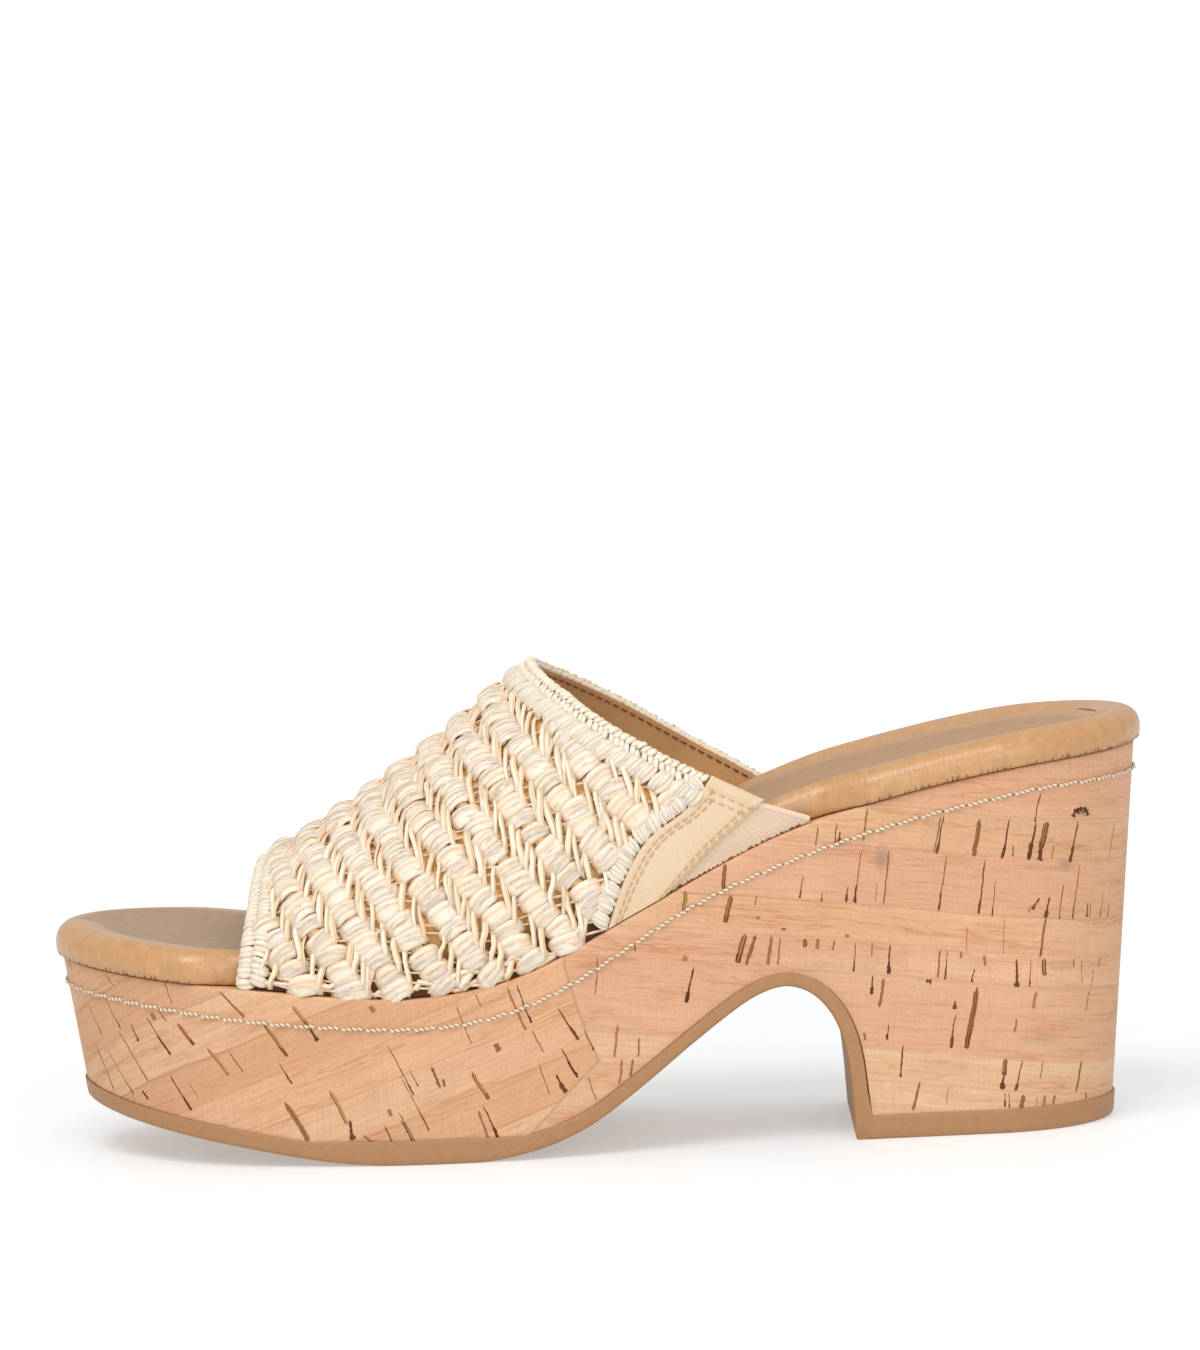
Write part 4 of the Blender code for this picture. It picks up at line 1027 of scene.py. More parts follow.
def cork_wrap():
    rim = rim_at(rim_columns(WALL_SPACING))
    low, high = foot_height(rim, sole_lines(GAP)[1]), rim_height(rim.from_heel)
    rows = [(low - GAP, -0.1), (low + 0.35, 0.0)]
    rows += [(low + 0.35 + (high - low - 1.05) * share, 0.0) for share in np.linspace(0, 1, 18)[1:]]
    rows += [(high - 0.25, -0.12), (high, -0.55)]
    loops = [wall_point(rim, height, out) for height, out in rows]
    # The front sheets are cut along the wall: their lengths agree with the plan's at one place.
    arc = lengths_along(np.stack([rim.from_heel, rim.side], 1))
    apart = np.where(rim.hand == LATERAL, np.abs(rim.from_heel - SHEETS_AGREE), np.inf)
    arc = arc - arc[np.argmin(apart)] + SHEETS_AGREE
    heights = np.array([height for height, _ in rows])
    levels = {"rear_level": heights - REAR_SLOPE * rim.from_heel, "fore_level": heights - FORE_SLOPE * arc,
              "seam": rim.from_heel - smooth(SHEET_SEAM, "from_heel", np.clip(heights, 6, 44))}
    mesh = loft("cork_wrap", loops, heights, 10, levels)
    piece_from("cork_wrap", mesh, [CORK], "cork_platform", slot="cork_veneer")


def cork_slits():
    """Slits of the cork: those read on the lateral side, and like ones at random on the side not seen."""
    rng = np.random.default_rng(11)
    seen, count = CORK_SLITS, 150
    fore = np.sort(rng.uniform(3, 245, count))
    low = np.interp(fore, *sole_lines(GAP)[1]) + 5
    high = rim_height(fore) - 1.5
    pick = rng.integers(0, len(seen["kind"]), count)
    far = {name: values[pick] for name, values in seen.items()}
    far["from_heel"], far["height"] = fore, low + (high - low) * rng.uniform(0.15, 1, count)
    far["drop"] = np.minimum(far["drop"], far["height"] - low + 4)
    far["shift"] = np.where(fore < 128, 0.15, -0.5) * far["drop"]
    rows = Lines()
    t = np.linspace(0, 1, 19)
    taper = np.where(t < 0.5, np.clip(t * 9, 0.15, 1), np.clip((1 - t) * 9 + 0.8, 0.15, 1))
    for marks, hand in ((seen, LATERAL), (far, MEDIAL)):
        kind, size = marks["kind"], len(marks["kind"])
        column = {name: values[:, None] for name, values in marks.items()}
        # A slit wanders a little, is a thin line for most of its way and opens towards its lower end.
        wander = np.cumsum(rng.normal(0, 0.05, (size, len(t))), 1) * np.minimum(column["drop"], 5) / 5
        heel = np.clip(column["from_heel"] + column["shift"] * t + wander, 0.05, LENGTH - 0.05)
        height = column["height"] - column["drop"] * t
        opening = 0.55 + 0.65 * ease(0.55, 0.67, t + rng.uniform(-0.4, 0.15, (size, 1)))
        opening = np.where(column["kind"] == 0, opening, 1.0)
        rough = np.where(column["kind"] == 1, 0.08, 0.27)
        width = taper * opening * (1 + rough * rng.uniform(-1, 1, (size, len(t)))) * column["width"]
        dark = np.where(kind == 2, rng.uniform(0.42, 0.66, size), rng.uniform(0.0, 0.34, size))
        # A golden slit is a dark outline, its filling and one or two dark streaks in that.
        golden = kind == 1
        for layer, chosen in enumerate((kind >= 0, golden, golden, golden & (marks["width"] > 0.9))):
            girth = width * (1.0, 0.74, 0.16, 0.2)[layer]
            if layer == 1:
                girth = girth * np.where(t > rng.uniform(0.62, 1.2, (size, 1)), 0.3, 1.0)
            aside = 0.0 if layer < 2 else width * rng.uniform(0.1, 0.32, (size, 1)) * (-1) ** layer
            tone = rng.uniform(0.78, 1.0, size) if layer == 1 else dark
            # Each layer's top lies just above the one before.
            out = 0.015 + 0.02 * layer + 0.05 * (width - girth)
            points, lay = wall_places(heel + aside, height, hand, out)
            rows.put(points[chosen], lay_over(points, lay)[chosen], np.maximum(girth, 0.08)[chosen],
                     tone[chosen, None])
    rows.piece("cork_slits", SLITS, 1.0, 0.10, 6, slot="cork_veneer")


def rim_stitches():
    rim = rim_at(np.linspace(0.002, math.tau - 0.002, 900))
    points = wall_point(rim, smooth(STITCH_LINE, "height", rim.from_heel), -0.12)
    lay = rim_out(rim)
    thread = stitch_shape("cork_stitch", 5.0, 0.86, 2, 4.0, 0.45, slant=0.22)
    stitch_rows("cork_stitches", [(points, lay)], RIM_STITCH, thread, THREAD)
    # The holes lie half a stitch further on, between the stitches; each is a dark bead of painted shade.
    gap = np.searchsorted(lengths_along(points), RIM_STITCH / 2)
    hole = stitch_shape("cork_hole", 0.7, 0.55, 1, 0.0, 0.2)
    stitch_rows("cork_stitch_holes", [(points[gap:] - 0.12 * lay[gap:], lay[gap:])], RIM_STITCH, hole, HOLE_SHADE)


def sole():
    rim = rim_at(rim_columns(WALL_SPACING))
    low, high = (foot_height(rim, line) for line in sole_lines(0.0))
    rows = ((0.0, -0.9), (0.05, -0.35), (0.16, -0.05), (0.3, 0.0), (0.6, 0.0), (0.85, 0.0), (0.97, -0.02),
            (1.0, -0.15))
    heights = np.array([low + (high - low) * share for share, _ in rows])
    loops = [wall_point(rim, height, OUTSOLE_PROUD + out) for height, (_, out) in zip(heights, rows)]
    piece_from("sole", loft("sole", loops, heights, 10), [RUBBER], "outsole", slot="tan_rubber")


CUSHION_PATH = smooth_path(CUSHION, 4)
CUSHION_RUN = lengths_along(np.stack([CUSHION_PATH["outward"], CUSHION_PATH["height"]], 1))


def cushion():
    """Foam under one leather skin, drawn as a crowned closed form: a roll round the rim and the seat."""
    rim = rim_at(rim_columns(CUSHION_SPACING))
    share = drawn_in(rim)
    loops = []
    for outward, height, drawn, dished in zip(*CUSHION_PATH.values()):
        out = outward - drawn * share
        heel = rim.from_heel + rim.out_along * out
        up = rim_height(heel) + height - dished * smooth(DISH, "depth", heel)
        loops.append(np.stack([heel, rim.side + rim.out_side * out, up], -1))
    heights = np.repeat(CUSHION_RUN[:, None], len(rim.side), 1)
    # On the far side the seat's painted taupe sheen reaches out to the toe's edge, and the heel's roll
    # reaches further in.
    far = rim.hand == MEDIAL
    spread = far * (4.5 * ease(200, 232, rim.from_heel) - 4.0 * (1 - ease(50, 100, rim.from_heel)))
    mesh = loft("cushion", loops, heights, 16, {"inward": spread - CUSHION_PATH["outward"][:, None]})
    made = piece_from("cushion", mesh, [CUSHION_SKIN], "footbed", "sock_lining", slot="tan_leather")
    # A short fold pressed in at the heel end of the seat, drawn as a dark line of painted shade.
    inward = int(np.argmin(np.abs(CUSHION_PATH["outward"] + 7.8)))
    fold = loops[inward][far & (rim.from_heel > 0.1) & (rim.from_heel < 5.5)]
    fold = fold[np.argsort(fold[:, 1])] + (0, 0, 0.05)
    crease = Lines()
    crease.row(fold, UP, np.sin(np.linspace(0.25, math.pi - 0.25, len(fold))), 0.3)
    crease.piece("seat_crease", PLEATS, 0.55, 0.16, 5, slot="tan_leather")


def joint_pleats():
    """Short pleats of the cushion's leather where it is drawn under, along its joint with the cork, dark with
    painted shade.
    """
    rng = np.random.default_rng(3)
    turns = np.sort(rng.uniform(0, math.tau, 800))
    rim = rim_at(turns[drawn_in(rim_at(turns)) < 0.5])
    size = len(rim.side)
    tall = rng.uniform(0.3, 1.25, (size, 1)) ** 1.4
    t = np.linspace(0, 1, 5)
    at = CUSHION_RUN[4] + 0.1 + tall * t
    out = np.interp(at, CUSHION_RUN, CUSHION_PATH["outward"]) + 0.02
    heel = rim.from_heel[:, None] + rim.out_along[:, None] * out
    lean = rng.normal(0, 0.15, (size, 1)) * t
    side = rim.side[:, None] + rim.out_side[:, None] * out
    up = rim_height(heel) + np.interp(at, CUSHION_RUN, CUSHION_PATH["height"])
    points = np.stack([heel + lean, side, up], -1)
    lay = np.repeat(rim_out(rim)[:, None], len(t), 1)
    rows = Lines()
    rows.put(points, lay_over(points, lay), np.clip(1.1 - t, 0.2, 1) * rng.uniform(0.5, 1.2, (size, 1)),
             rng.uniform(0, 1, (size, 1)))
    rows.piece("cushion_pleats", PLEATS, 0.36, 0.10, 5, slot="tan_leather")


# The upper as a grid over crest crossings and around values, for the weave.
GRID_CROSSING = np.arange(108.0, 224.0, 1.0)
GRID_AROUND = np.linspace(-1, 1, 241)
GRID_HEEL = strip_at(*np.meshgrid(GRID_CROSSING, GRID_AROUND, indexing="ij"))
GRID_PLACE = upper_place(GRID_HEEL, GRID_AROUND[None] + 0 * GRID_HEEL)
GRID_OUT = upper_out(GRID_HEEL, GRID_AROUND[None] + 0 * GRID_HEEL)
TAB_DOWN = np.linspace(1, 0, 60)
TAB_HEEL = tab_edge(TAB_DOWN, "front")[0]
TAB_AROUND = around_at(TAB_HEEL, tab_edge(TAB_DOWN, "front")[1], LATERAL)
CORNER = TAB_AROUND[-1]


def between(grid, i, j):
    """Values of a grid of rows of numbers between its points, at fractional row and column numbers."""
    i, j = np.clip(i, 0, grid.shape[0] - 1.001), np.clip(j, 0, grid.shape[1] - 1.001)
    a, b = i.astype(int), j.astype(int)
    s, t = (i - a)[..., None], (j - b)[..., None]
    return (grid[a, b] * (1 - s) * (1 - t) + grid[a + 1, b] * s * (1 - t)
            + grid[a, b + 1] * (1 - s) * t + grid[a + 1, b + 1] * s * t)


def woven(crossing, around, out):
    """Points and outward normals of the weave at crest crossings and around values."""
    i = (crossing - GRID_CROSSING[0]) / (GRID_CROSSING[1] - GRID_CROSSING[0])
    j = (around + 1) / (GRID_AROUND[1] - GRID_AROUND[0])
    lay = unit(between(GRID_OUT, i, j))
    return between(GRID_PLACE, i, j) + lay * np.asarray(out)[..., None], lay


def rear_at(around):
    """From-heel place of the vamp's rear edge: along the tab, then the throat."""
    return np.where(around < CORNER, np.interp(around, TAB_AROUND, TAB_HEEL), throat_at(around))


class Edge:
    """An edge of the upper, with steps square to it along the surface."""

    def __init__(self, from_heel, around, inward):
        place, out = upper_place(from_heel, around), upper_out(from_heel, around)
        way = unit(np.cross(out, unit(np.gradient(place, axis=0))))
        way *= np.sign(way[:, :1]) * inward
        low, high = np.maximum(around - TURN_STEP, -1), np.minimum(around + TURN_STEP, 1)
        by_heel = upper_place(from_heel + HEEL_STEP, around) - upper_place(from_heel - HEEL_STEP, around)
        by_heel = by_heel / (2 * HEEL_STEP)
        by_turn = (upper_place(from_heel, high) - upper_place(from_heel, low)) / (high - low)[:, None]
        a, b, c, d, e = (np.sum(p * q, 1) for p, q in (
            (by_heel, by_heel), (by_heel, by_turn), (by_turn, by_turn), (by_heel, way), (by_turn, way)))
        size = a * c - b * b
        self.place = place
        self.run = lengths_along(place)
        self.steps = (from_heel, around, (c * d - b * e) / size, (a * e - b * d) / size)

    def at(self, run, inward, out):
        """Points and normals at a length along the edge, a distance in from it and a height over it."""
        heel, around, by_heel, by_turn = (np.interp(run, self.run, step) for step in self.steps)
        heel, around = heel + by_heel * inward, np.clip(around + by_turn * inward, -1, 1)
        lay = upper_out(heel, around)
        return upper_place(heel, around) + lay * np.asarray(out)[..., None], lay

    def away(self, points):
        """Distance of points from the edge."""
        return np.min(np.linalg.norm(points[:, None] - self.place[None, ::2], axis=-1), 1)


THROAT_TURNS = np.linspace(CORNER, 1, 400)
THROAT_EDGE = Edge(throat_at(THROAT_TURNS), THROAT_TURNS, 1)
FRONT_TURNS = np.linspace(-1, 1, 400)
FRONT_EDGE = Edge(front_at(FRONT_TURNS), FRONT_TURNS, -1)
TAB_EDGE = Edge(TAB_HEEL, TAB_AROUND, 1)


def within(crossing, around, throat, front, tab):
    """Which places of the weave lie inside the vamp, by distances from its edges."""
    points, _ = woven(crossing, around, np.zeros_like(around))
    ok = (points[:, 0] > rear_at(around)) & (points[:, 0] < front_at(around))
    for edge, distance in ((THROAT_EDGE, throat), (FRONT_EDGE, front), (TAB_EDGE, tab)):
        ok &= edge.away(points) > distance
    return ok


class Strip:
    """A line of the weave by its number from the first strip; lengths along it run from the crest."""

    def __init__(self, number):
        self.centre = STRIP_START + STRIP_PITCH * number
        run = lengths_along(woven(np.full_like(GRID_AROUND, self.centre), GRID_AROUND, 0 * GRID_AROUND)[0])
        self.run = run - np.interp(0, GRID_AROUND, run)
        self.low, self.high = self.run[0], self.run[-1]

    def around(self, v):
        return np.interp(v, self.run, GRID_AROUND)

    def points(self, crossing, v, out, inset):
        """Points and normals at lengths along the strip, kept an inset from its ends."""
        return woven(crossing, self.around(np.clip(v, self.low + inset, self.high - inset)), out)

    def inside(self, v, *distances):
        around = self.around(v)
        return within(np.full_like(around, self.centre), around, *distances)

    def wrap_way(self, middles):
        """Change along the strip for each step across it, so that the wraps rise towards the heel; and
        that step's length."""
        around = self.around(middles)
        low, high = (woven(np.full_like(around, self.centre + step), around, 0 * around)[0]
                     for step in (-1, 1))
        over = (low - high) / 2
        low, high = (woven(np.full_like(around, self.centre), self.around(middles + step), 0 * around)[0]
                     for step in (-1, 1))
        down = (high - low) / 2
        # Shoe points run from the heel, so the way to the heel is minus their first value.
        level, steep = over[:, 2] + WRAP_RISE * over[:, 0], down[:, 2] + WRAP_RISE * down[:, 0]
        steep = np.where(np.abs(steep) < 0.25, np.copysign(0.25, steep), steep)
        way = np.clip(-level / steep, -0.6, 0.6) * np.tanh(np.abs(middles) / 8)
        return way[:, None], np.linalg.norm(over + way[:, None] * down, axis=1)[:, None]


RIDGES = [Strip(number) for number in STRIPS]
VALLEYS = [Strip(number + 0.5) for number in (STRIPS[0] - 1, *STRIPS)]


def stretches(ok):
    """Index runs of more than three places at which a test holds."""
    breaks = np.flatnonzero(np.diff(ok.astype(int)))
    return [part for part in np.split(np.arange(len(ok)), breaks + 1) if ok[part[0]] and len(part) > 3]


def ridge_bundles(puffs, rows, rng):
    """Bundles wrapped over each strip, one after another: a flat puff and the ribbons side by side on it."""
    tau = np.linspace(-1, 1, 11)
    level = 1 - np.abs(tau) ** 2.4
    plan = np.sqrt(np.maximum(1 - np.abs(tau) ** 3.0, 0))
    # The bundles' ends get painted golden shade, where they go under the bars.
    ends = np.clip((np.abs(tau) - 0.58) / 0.42, 0, 1) ** 1.2
    for strip in RIDGES:
        middles = np.arange(strip.low + 1.6, strip.high - 1.2, BUNDLE_PITCH)
        middles = middles + rng.normal(0, 0.28, len(middles))
        middles = middles[strip.inside(middles, 7.2, 5.0, 1.6)]
        along, one = middles[:, None], (len(middles), 1)
        way, stride = strip.wrap_way(middles)
        reach = np.minimum(WRAP_LENGTH / 2 / stride, 0.60 * STRIP_PITCH) * (1 + rng.normal(0, 0.05, one))
        reach = reach * (1 - 0.04 * ease(0.78, 0.95, np.abs(strip.around(along))))
        lean = reach * (way + rng.normal(0, 0.18, one))
        bulge = rng.uniform(0.82, 1.12, one)
        centre = strip.centre + rng.normal(0, 0.35, one)
        arch = np.sign(along) * rng.normal(0.65, 0.3, one) * (1 - tau ** 2)
        # The rolls stand higher over the instep, where they step the outline.
        stand = 1.35 + 0.55 * np.exp(-(along / 24) ** 2)
        height = -0.35 + rng.normal(0, 0.08, one) + stand * bulge * level
        hue = rng.uniform(0.15, 0.9, one)
        course = along + lean * tau - arch
        points, lay = strip.points(centre - reach * tau, course, height, 0.3)
        puffs.put(points, lay_over(points, lay), (0.62 + 0.38 * plan) * bulge, hue,
                  ends * rng.uniform(0.5, 1.0, one))
        for ribbon in np.linspace(-1, 1, 3):
            offset = (ribbon + rng.normal(0, 0.15, one)) * (1.3 + rng.normal(0, 0.15, one)) * bulge
            bend = rng.normal(0, 0.16, one) * plan + rng.normal(0, 0.14, one) * np.sin(tau * 2.6)
            crossing = centre - reach * (1 + rng.normal(0, 0.06, one)) * tau
            crown = 0.55 * np.sqrt(1 - (ribbon * 0.75) ** 2) - 0.13 + rng.uniform(-0.07, 0.07, one)
            crinkle = rng.normal(0, 0.03, height.shape)
            points, lay = strip.points(crossing, course + offset * (0.70 + 0.30 * plan) + bend,
                                       height + crown * (0.5 + 0.5 * plan) + crinkle, 0.3)
            tilt = (ribbon * 0.34 + rng.normal(0, 0.07, one)) * plan
            girth = (0.80 + 0.20 * plan) * rng.uniform(0.70, 1.20, one)
            tuck_shade = ends * rng.uniform(0.4, 1.0, one)
            rows.put(points, lay_over(points, lay, tilt), girth, hue + rng.uniform(-0.15, 0.1, one), tuck_shade)


def valley_bars(rows, rng):
    """Single strands that cross the valleys between the strips, steep, often in pairs."""
    tau = np.linspace(-1, 1, 8)
    swell = np.maximum(np.cos(tau * math.pi / 2), 0)
    for strip in VALLEYS:
        middles = np.arange(strip.low + 1.0, strip.high - 1.0, BAR_PITCH)
        pairs = middles[rng.uniform(0, 1, len(middles)) < 0.15] + 1.7
        # Fewer cross near the rim, where the valleys gape.
        low = ease(0.72, 0.92, np.abs(strip.around(middles)))
        middles = np.r_[middles[rng.uniform(0, 1, len(middles)) < 0.98 - 0.05 * low], pairs]
        middles = middles + rng.normal(0, 0.35, len(middles))
        inside = strip.inside(middles, 6.2, 4.4, 2.6)
        middles = middles[inside & (middles > strip.low + 2.2) & (middles < strip.high - 2.2)]
        along, one = middles[:, None], (len(middles), 1)
        room = np.minimum(along - strip.low, strip.high - along) - 0.2
        lean = np.tanh(along / 6) * np.minimum(BAR_LEAN + rng.normal(0, 0.6, one), room)
        course = along + lean * tau + rng.normal(0, 0.3, one) * np.sin(tau * 3)
        bow = rng.normal(0.1, 0.2, one) * (1 - tau ** 2) + rng.normal(0, 0.14, one) * np.sin(tau * 3)
        crossing = strip.centre + STRIP_PITCH * 0.27 * tau + rng.normal(0, 0.15, one) + bow
        rise = 1.45 - 0.95 * np.exp(-(along / 22) ** 2)
        out = -0.25 + (rise + rng.uniform(-0.2, 0.30, one)) * swell ** 0.55
        points, lay = strip.points(crossing, course, out, 0.2)
        girth = rng.uniform(0.7, 1.2, one) * (1 + rng.normal(0, 0.08, out.shape))
        # The bars' ends get painted golden shade, where they go under the bundles.
        tuck_shade = np.clip(0.9 - 1.3 * swell ** 0.6, 0, 1) * rng.uniform(0.4, 1.0, one)
        turn = rng.normal(0, 0.4, one) * np.ones_like(out)
        rows.put(points, lay_over(points, lay, turn), girth, rng.uniform(0.1, 0.95, one), tuck_shade)


def valley_threads(rows, rng):
    """Thin strands low in the valleys, across the bars."""
    tau = np.linspace(-1, 1, 6)
    for strip in VALLEYS:
        middles = np.arange(strip.low + 1.4, strip.high - 1.4, THREAD_PITCH)
        middles = middles[rng.uniform(0, 1, len(middles)) < 0.85]
        middles = middles + rng.normal(0, 0.4, len(middles))
        middles = middles[strip.inside(middles, 5.5, 4.2, 0.6)]
        along, one = middles[:, None], (len(middles), 1)
        course = along - np.tanh(along / 6) * rng.uniform(0.2, 1.4, one) * tau
        crossing = strip.centre + STRIP_PITCH * 0.32 * tau + 0 * course
        out = 0.05 + rng.uniform(0.0, 0.4, one) + 0.12 * np.sin(tau * 3 + rng.uniform(0, 6, one))
        points, lay = strip.points(crossing, course, out, 0.2)
        rows.put(points, lay_over(points, lay), rng.uniform(0.45, 0.75, one),
                 rng.uniform(0.2, 0.9, one), rng.uniform(0.2, 0.7, one))


def strip_cores(rows, rng):
    """Cord inside each strip, which the bundles are wrapped over."""
    for strip in RIDGES:
        v = np.arange(strip.low + 0.3, strip.high - 0.3, 1.2)
        for part in stretches(strip.inside(v, 4.5, 3.5, 0.8)):
            points, lay = woven(np.full(len(part), strip.centre), strip.around(v)[part],
                                np.full(len(part), -0.1))
            rows.row(points, lay, 1.0, rng.uniform(0.2, 0.8), 0.25)


def rim_strands(rows, rng):
    """Loose strands along the foot of the weave, over the ends of its strips."""
    for side in (LATERAL, MEDIAL):
        for turn, out in ((0.992, 0.15), (0.978, 0.5), (0.962, 0.75)):
            crossing = np.arange(GRID_CROSSING[0] + 1, GRID_CROSSING[-1] - 1, 1.4)
            wave = 0.006 * np.sin(crossing * 0.9 + 40 * turn)
            around = np.clip(side * (turn + wave + rng.normal(0, 0.004, len(crossing))), -0.998, 0.998)
            ok = within(crossing, around, 4.5, 3.5, 3.2)
            ok &= rng.uniform(0, 1, len(crossing)) > 0.2
            for part in stretches(ok):
                rise = out + 0.3 * np.sin(crossing[part] * 1.5 + 9 * turn)
                rise = rise - 0.5 * (part == part[0]) - 0.5 * (part == part[-1])
                points, lay = woven(crossing[part], around[part], rise)
                rows.row(points, lay, rng.uniform(0.7, 1.1, len(part)), rng.uniform(0.2, 0.9), 0.1)


def edge_wraps(rows, rng, edge, pitch, near, far, slant, ribbons, rise, spread, start=0.0, dive=0.3):
    """Bundles set square across an edge, from one distance to another, leaning along it by a slant."""
    tau = np.linspace(-1, 1, 8)
    swell = np.maximum(np.cos(tau * math.pi / 2), 0)
    places = np.arange(pitch * (0.5 + start), edge.run[-1] - pitch * 0.3, pitch)
    places = places + rng.normal(0, pitch * 0.06, len(places))
    one = (len(places), 1)
    for ribbon in (np.linspace(-1, 1, ribbons) if ribbons > 1 else [0.0]):
        run = places[:, None] + slant * tau + ribbon * spread * (0.45 + 0.55 * swell)
        run = np.clip(run + rng.normal(0, 0.1, one), 0, edge.run[-1])
        inward = (near + far) / 2 + (far - near) / 2 * tau + rng.normal(0, 0.12, one)
        stand = rise + dive + rng.uniform(-0.15, 0.15, one) + 0.2 * (1 - ribbon ** 2)
        out = -dive + stand * swell ** 0.6
        points, lay = edge.at(run, inward, out)
        girth = (0.66 + 0.34 * swell ** 0.6) * rng.uniform(0.85, 1.12, one)
        # The wraps' ends get painted golden shade, where they tuck in.
        tuck_shade = np.clip(1 - 1.5 * swell ** 0.55, 0, 1) * rng.uniform(0.4, 0.9, one)
        rows.put(points, lay_over(points, lay, ribbon * 0.4 * swell * np.ones_like(out)), girth,
                 rng.uniform(0.2, 1, one), tuck_shade)


def upper():
    """The woven vamp: cords, bundles, bars and edges of raffia over a suede lining."""
    rng = np.random.default_rng(5)
    cores, puffs, bundles, bars, threads, edges, trims = (Lines() for _ in range(7))
    strip_cores(cores, rng)
    ridge_bundles(puffs, bundles, rng)
    valley_bars(bars, rng)
    valley_threads(threads, rng)
    rim_strands(bars, rng)
    edge_wraps(edges, rng, THROAT_EDGE, 3.5, 2.6, 8.4, 1.0, 4, 1.3, 1.35)
    edge_wraps(trims, rng, THROAT_EDGE, 1.45, -0.4, 1.9, 0.7, 1, 0.5, 0.0, dive=0.7)
    edge_wraps(trims, rng, THROAT_EDGE, 1.45, 1.3, 3.7, -0.7, 1, 0.7, 0.0, start=0.5)
    edge_wraps(edges, rng, FRONT_EDGE, 2.3, -0.6, 3.4, 0.4, 2, 0.9, 0.62, dive=0.9)
    edge_wraps(edges, rng, FRONT_EDGE, 2.3, 2.4, 6.6, -0.4, 2, 1.1, 0.62, start=0.5)
    edge_wraps(edges, rng, TAB_EDGE, 3.4, -0.6, 4.2, 0.6, 4, 1.1, 1.3)
    for edge, inward, out in ((THROAT_EDGE, 0.2, -0.55), (THROAT_EDGE, 0.4, -1.2), (FRONT_EDGE, 0.1, -0.3)):
        run = np.arange(0.4, edge.run[-1] - 0.2, 0.9)
        wave = 0.18 * np.sin(run * 2.9) + rng.normal(0, 0.06, len(run))
        points, lay = edge.at(run, inward + wave, out + 0.14 * np.cos(run * 2.9))
        trims.row(points, lay, rng.uniform(0.9, 1.15, len(run)), 0.7)
    for name, lines, skin, width, thick, sides in (
            ("raffia_cords", cores, RAFFIA_CORE, 3.2, 2.0, 8),
            ("raffia_puffs", puffs, RAFFIA, 4.7, 1.1, 10),
            ("raffia_bundles", bundles, RAFFIA, 2.35, 0.34, 6),
            ("raffia_bars", bars, RAFFIA_BAR, 1.55, 0.66, 6),
            ("raffia_threads", threads, RAFFIA, 1.0, 0.6, 6),
            ("raffia_edges", edges, RAFFIA_HEM, 1.70, 0.80, 6),
            ("raffia_trims", trims, RAFFIA_EDGE, 1.45, 0.80, 6)):
        lines.piece(name, skin, width, thick, sides, "vamp", slot="woven_raffia")


def lining():
    around = np.linspace(-1, 1, 181)
    rear, front = rear_at(around) + 0.4, front_at(around) - 0.4
    steps = 70
    heel = rear[:, None] + (front - rear)[:, None] * np.linspace(0, 1, steps)
    turn = around[:, None] + 0 * heel
    outer, inner = (upper_point(heel, turn, np.full_like(heel, out)) for out in (-0.6, -1.7))
    # The outer face, seen through the weave, is painted darker towards the rim: painted shade of the crevice
    # down there.
    tone = ease(4, 20, outer[..., 2] - rim_height(heel))
    mesh, inside = wall_between("lining", outer, inner, {"tone": tone})
    made = piece_from("lining", mesh, [LINING_BACK_SHADED, LINING_SKIN], "vamp", slot="woven_raffia")
    mesh.polygons.foreach_set("material_index", inside)
    row = np.arange(2.0, THROAT_EDGE.run[-1] - 1.0, 0.8)
    points, lay = THROAT_EDGE.at(row, np.full_like(row, 1.5), np.full_like(row, -1.72))
    stitch = stitch_shape("lining_stitch", 1.7, 0.42, 1, 0.0, 0.5)
    stitch_rows("lining_stitches", [(points, -lay)], 2.3, stitch, LINING_THREAD)


class SideGrid:
    """Grid on the lateral side between two edges, which give from-heel places and heights by the way down."""

    def __init__(self, front, rear, rows, cols):
        down = np.linspace(0, 1, rows)[:, None]
        across = np.linspace(0, 1, cols)[None]
        (a, a_up), (b, b_up) = front(down), rear(down)
        self.heel = a + (b - a) * across
        self.around = around_at(self.heel, a_up + (b_up - a_up) * across, LATERAL)
        self.around[-1] = -1.0
        place = upper_place(self.heel, self.around)
        self.down = np.stack([lengths_along(place[:, j]) for j in range(cols)], 1)
        self.across = np.stack([lengths_along(row) for row in place])

    def face(self, out):
        return upper_point(self.heel, self.around, np.broadcast_to(out, self.heel.shape))

    def path(self, rows, cols, out):
        """Points and normals along a path given by fractional row and column numbers."""
        heel, around = (between(grid[..., None], rows, cols)[..., 0] for grid in (self.heel, self.around))
        lay = upper_out(heel, around)
        return upper_place(heel, around) + lay * out, lay


def tab_front(down):
    heel, height = tab_edge(down, "front")
    return heel - 0.1, height


def tab_rear(down):
    return tab_edge(down, "rear")


def gore_front(down):
    heel, height = tab_edge(down, "rear")
    return heel + 2.0, height - GAP


def gore_tip(down):
    return GORE_TIP + 0 * down, rim_height(GORE_TIP) + UPPER_SEAT + GORE_TIP_RISE * (1 - down)


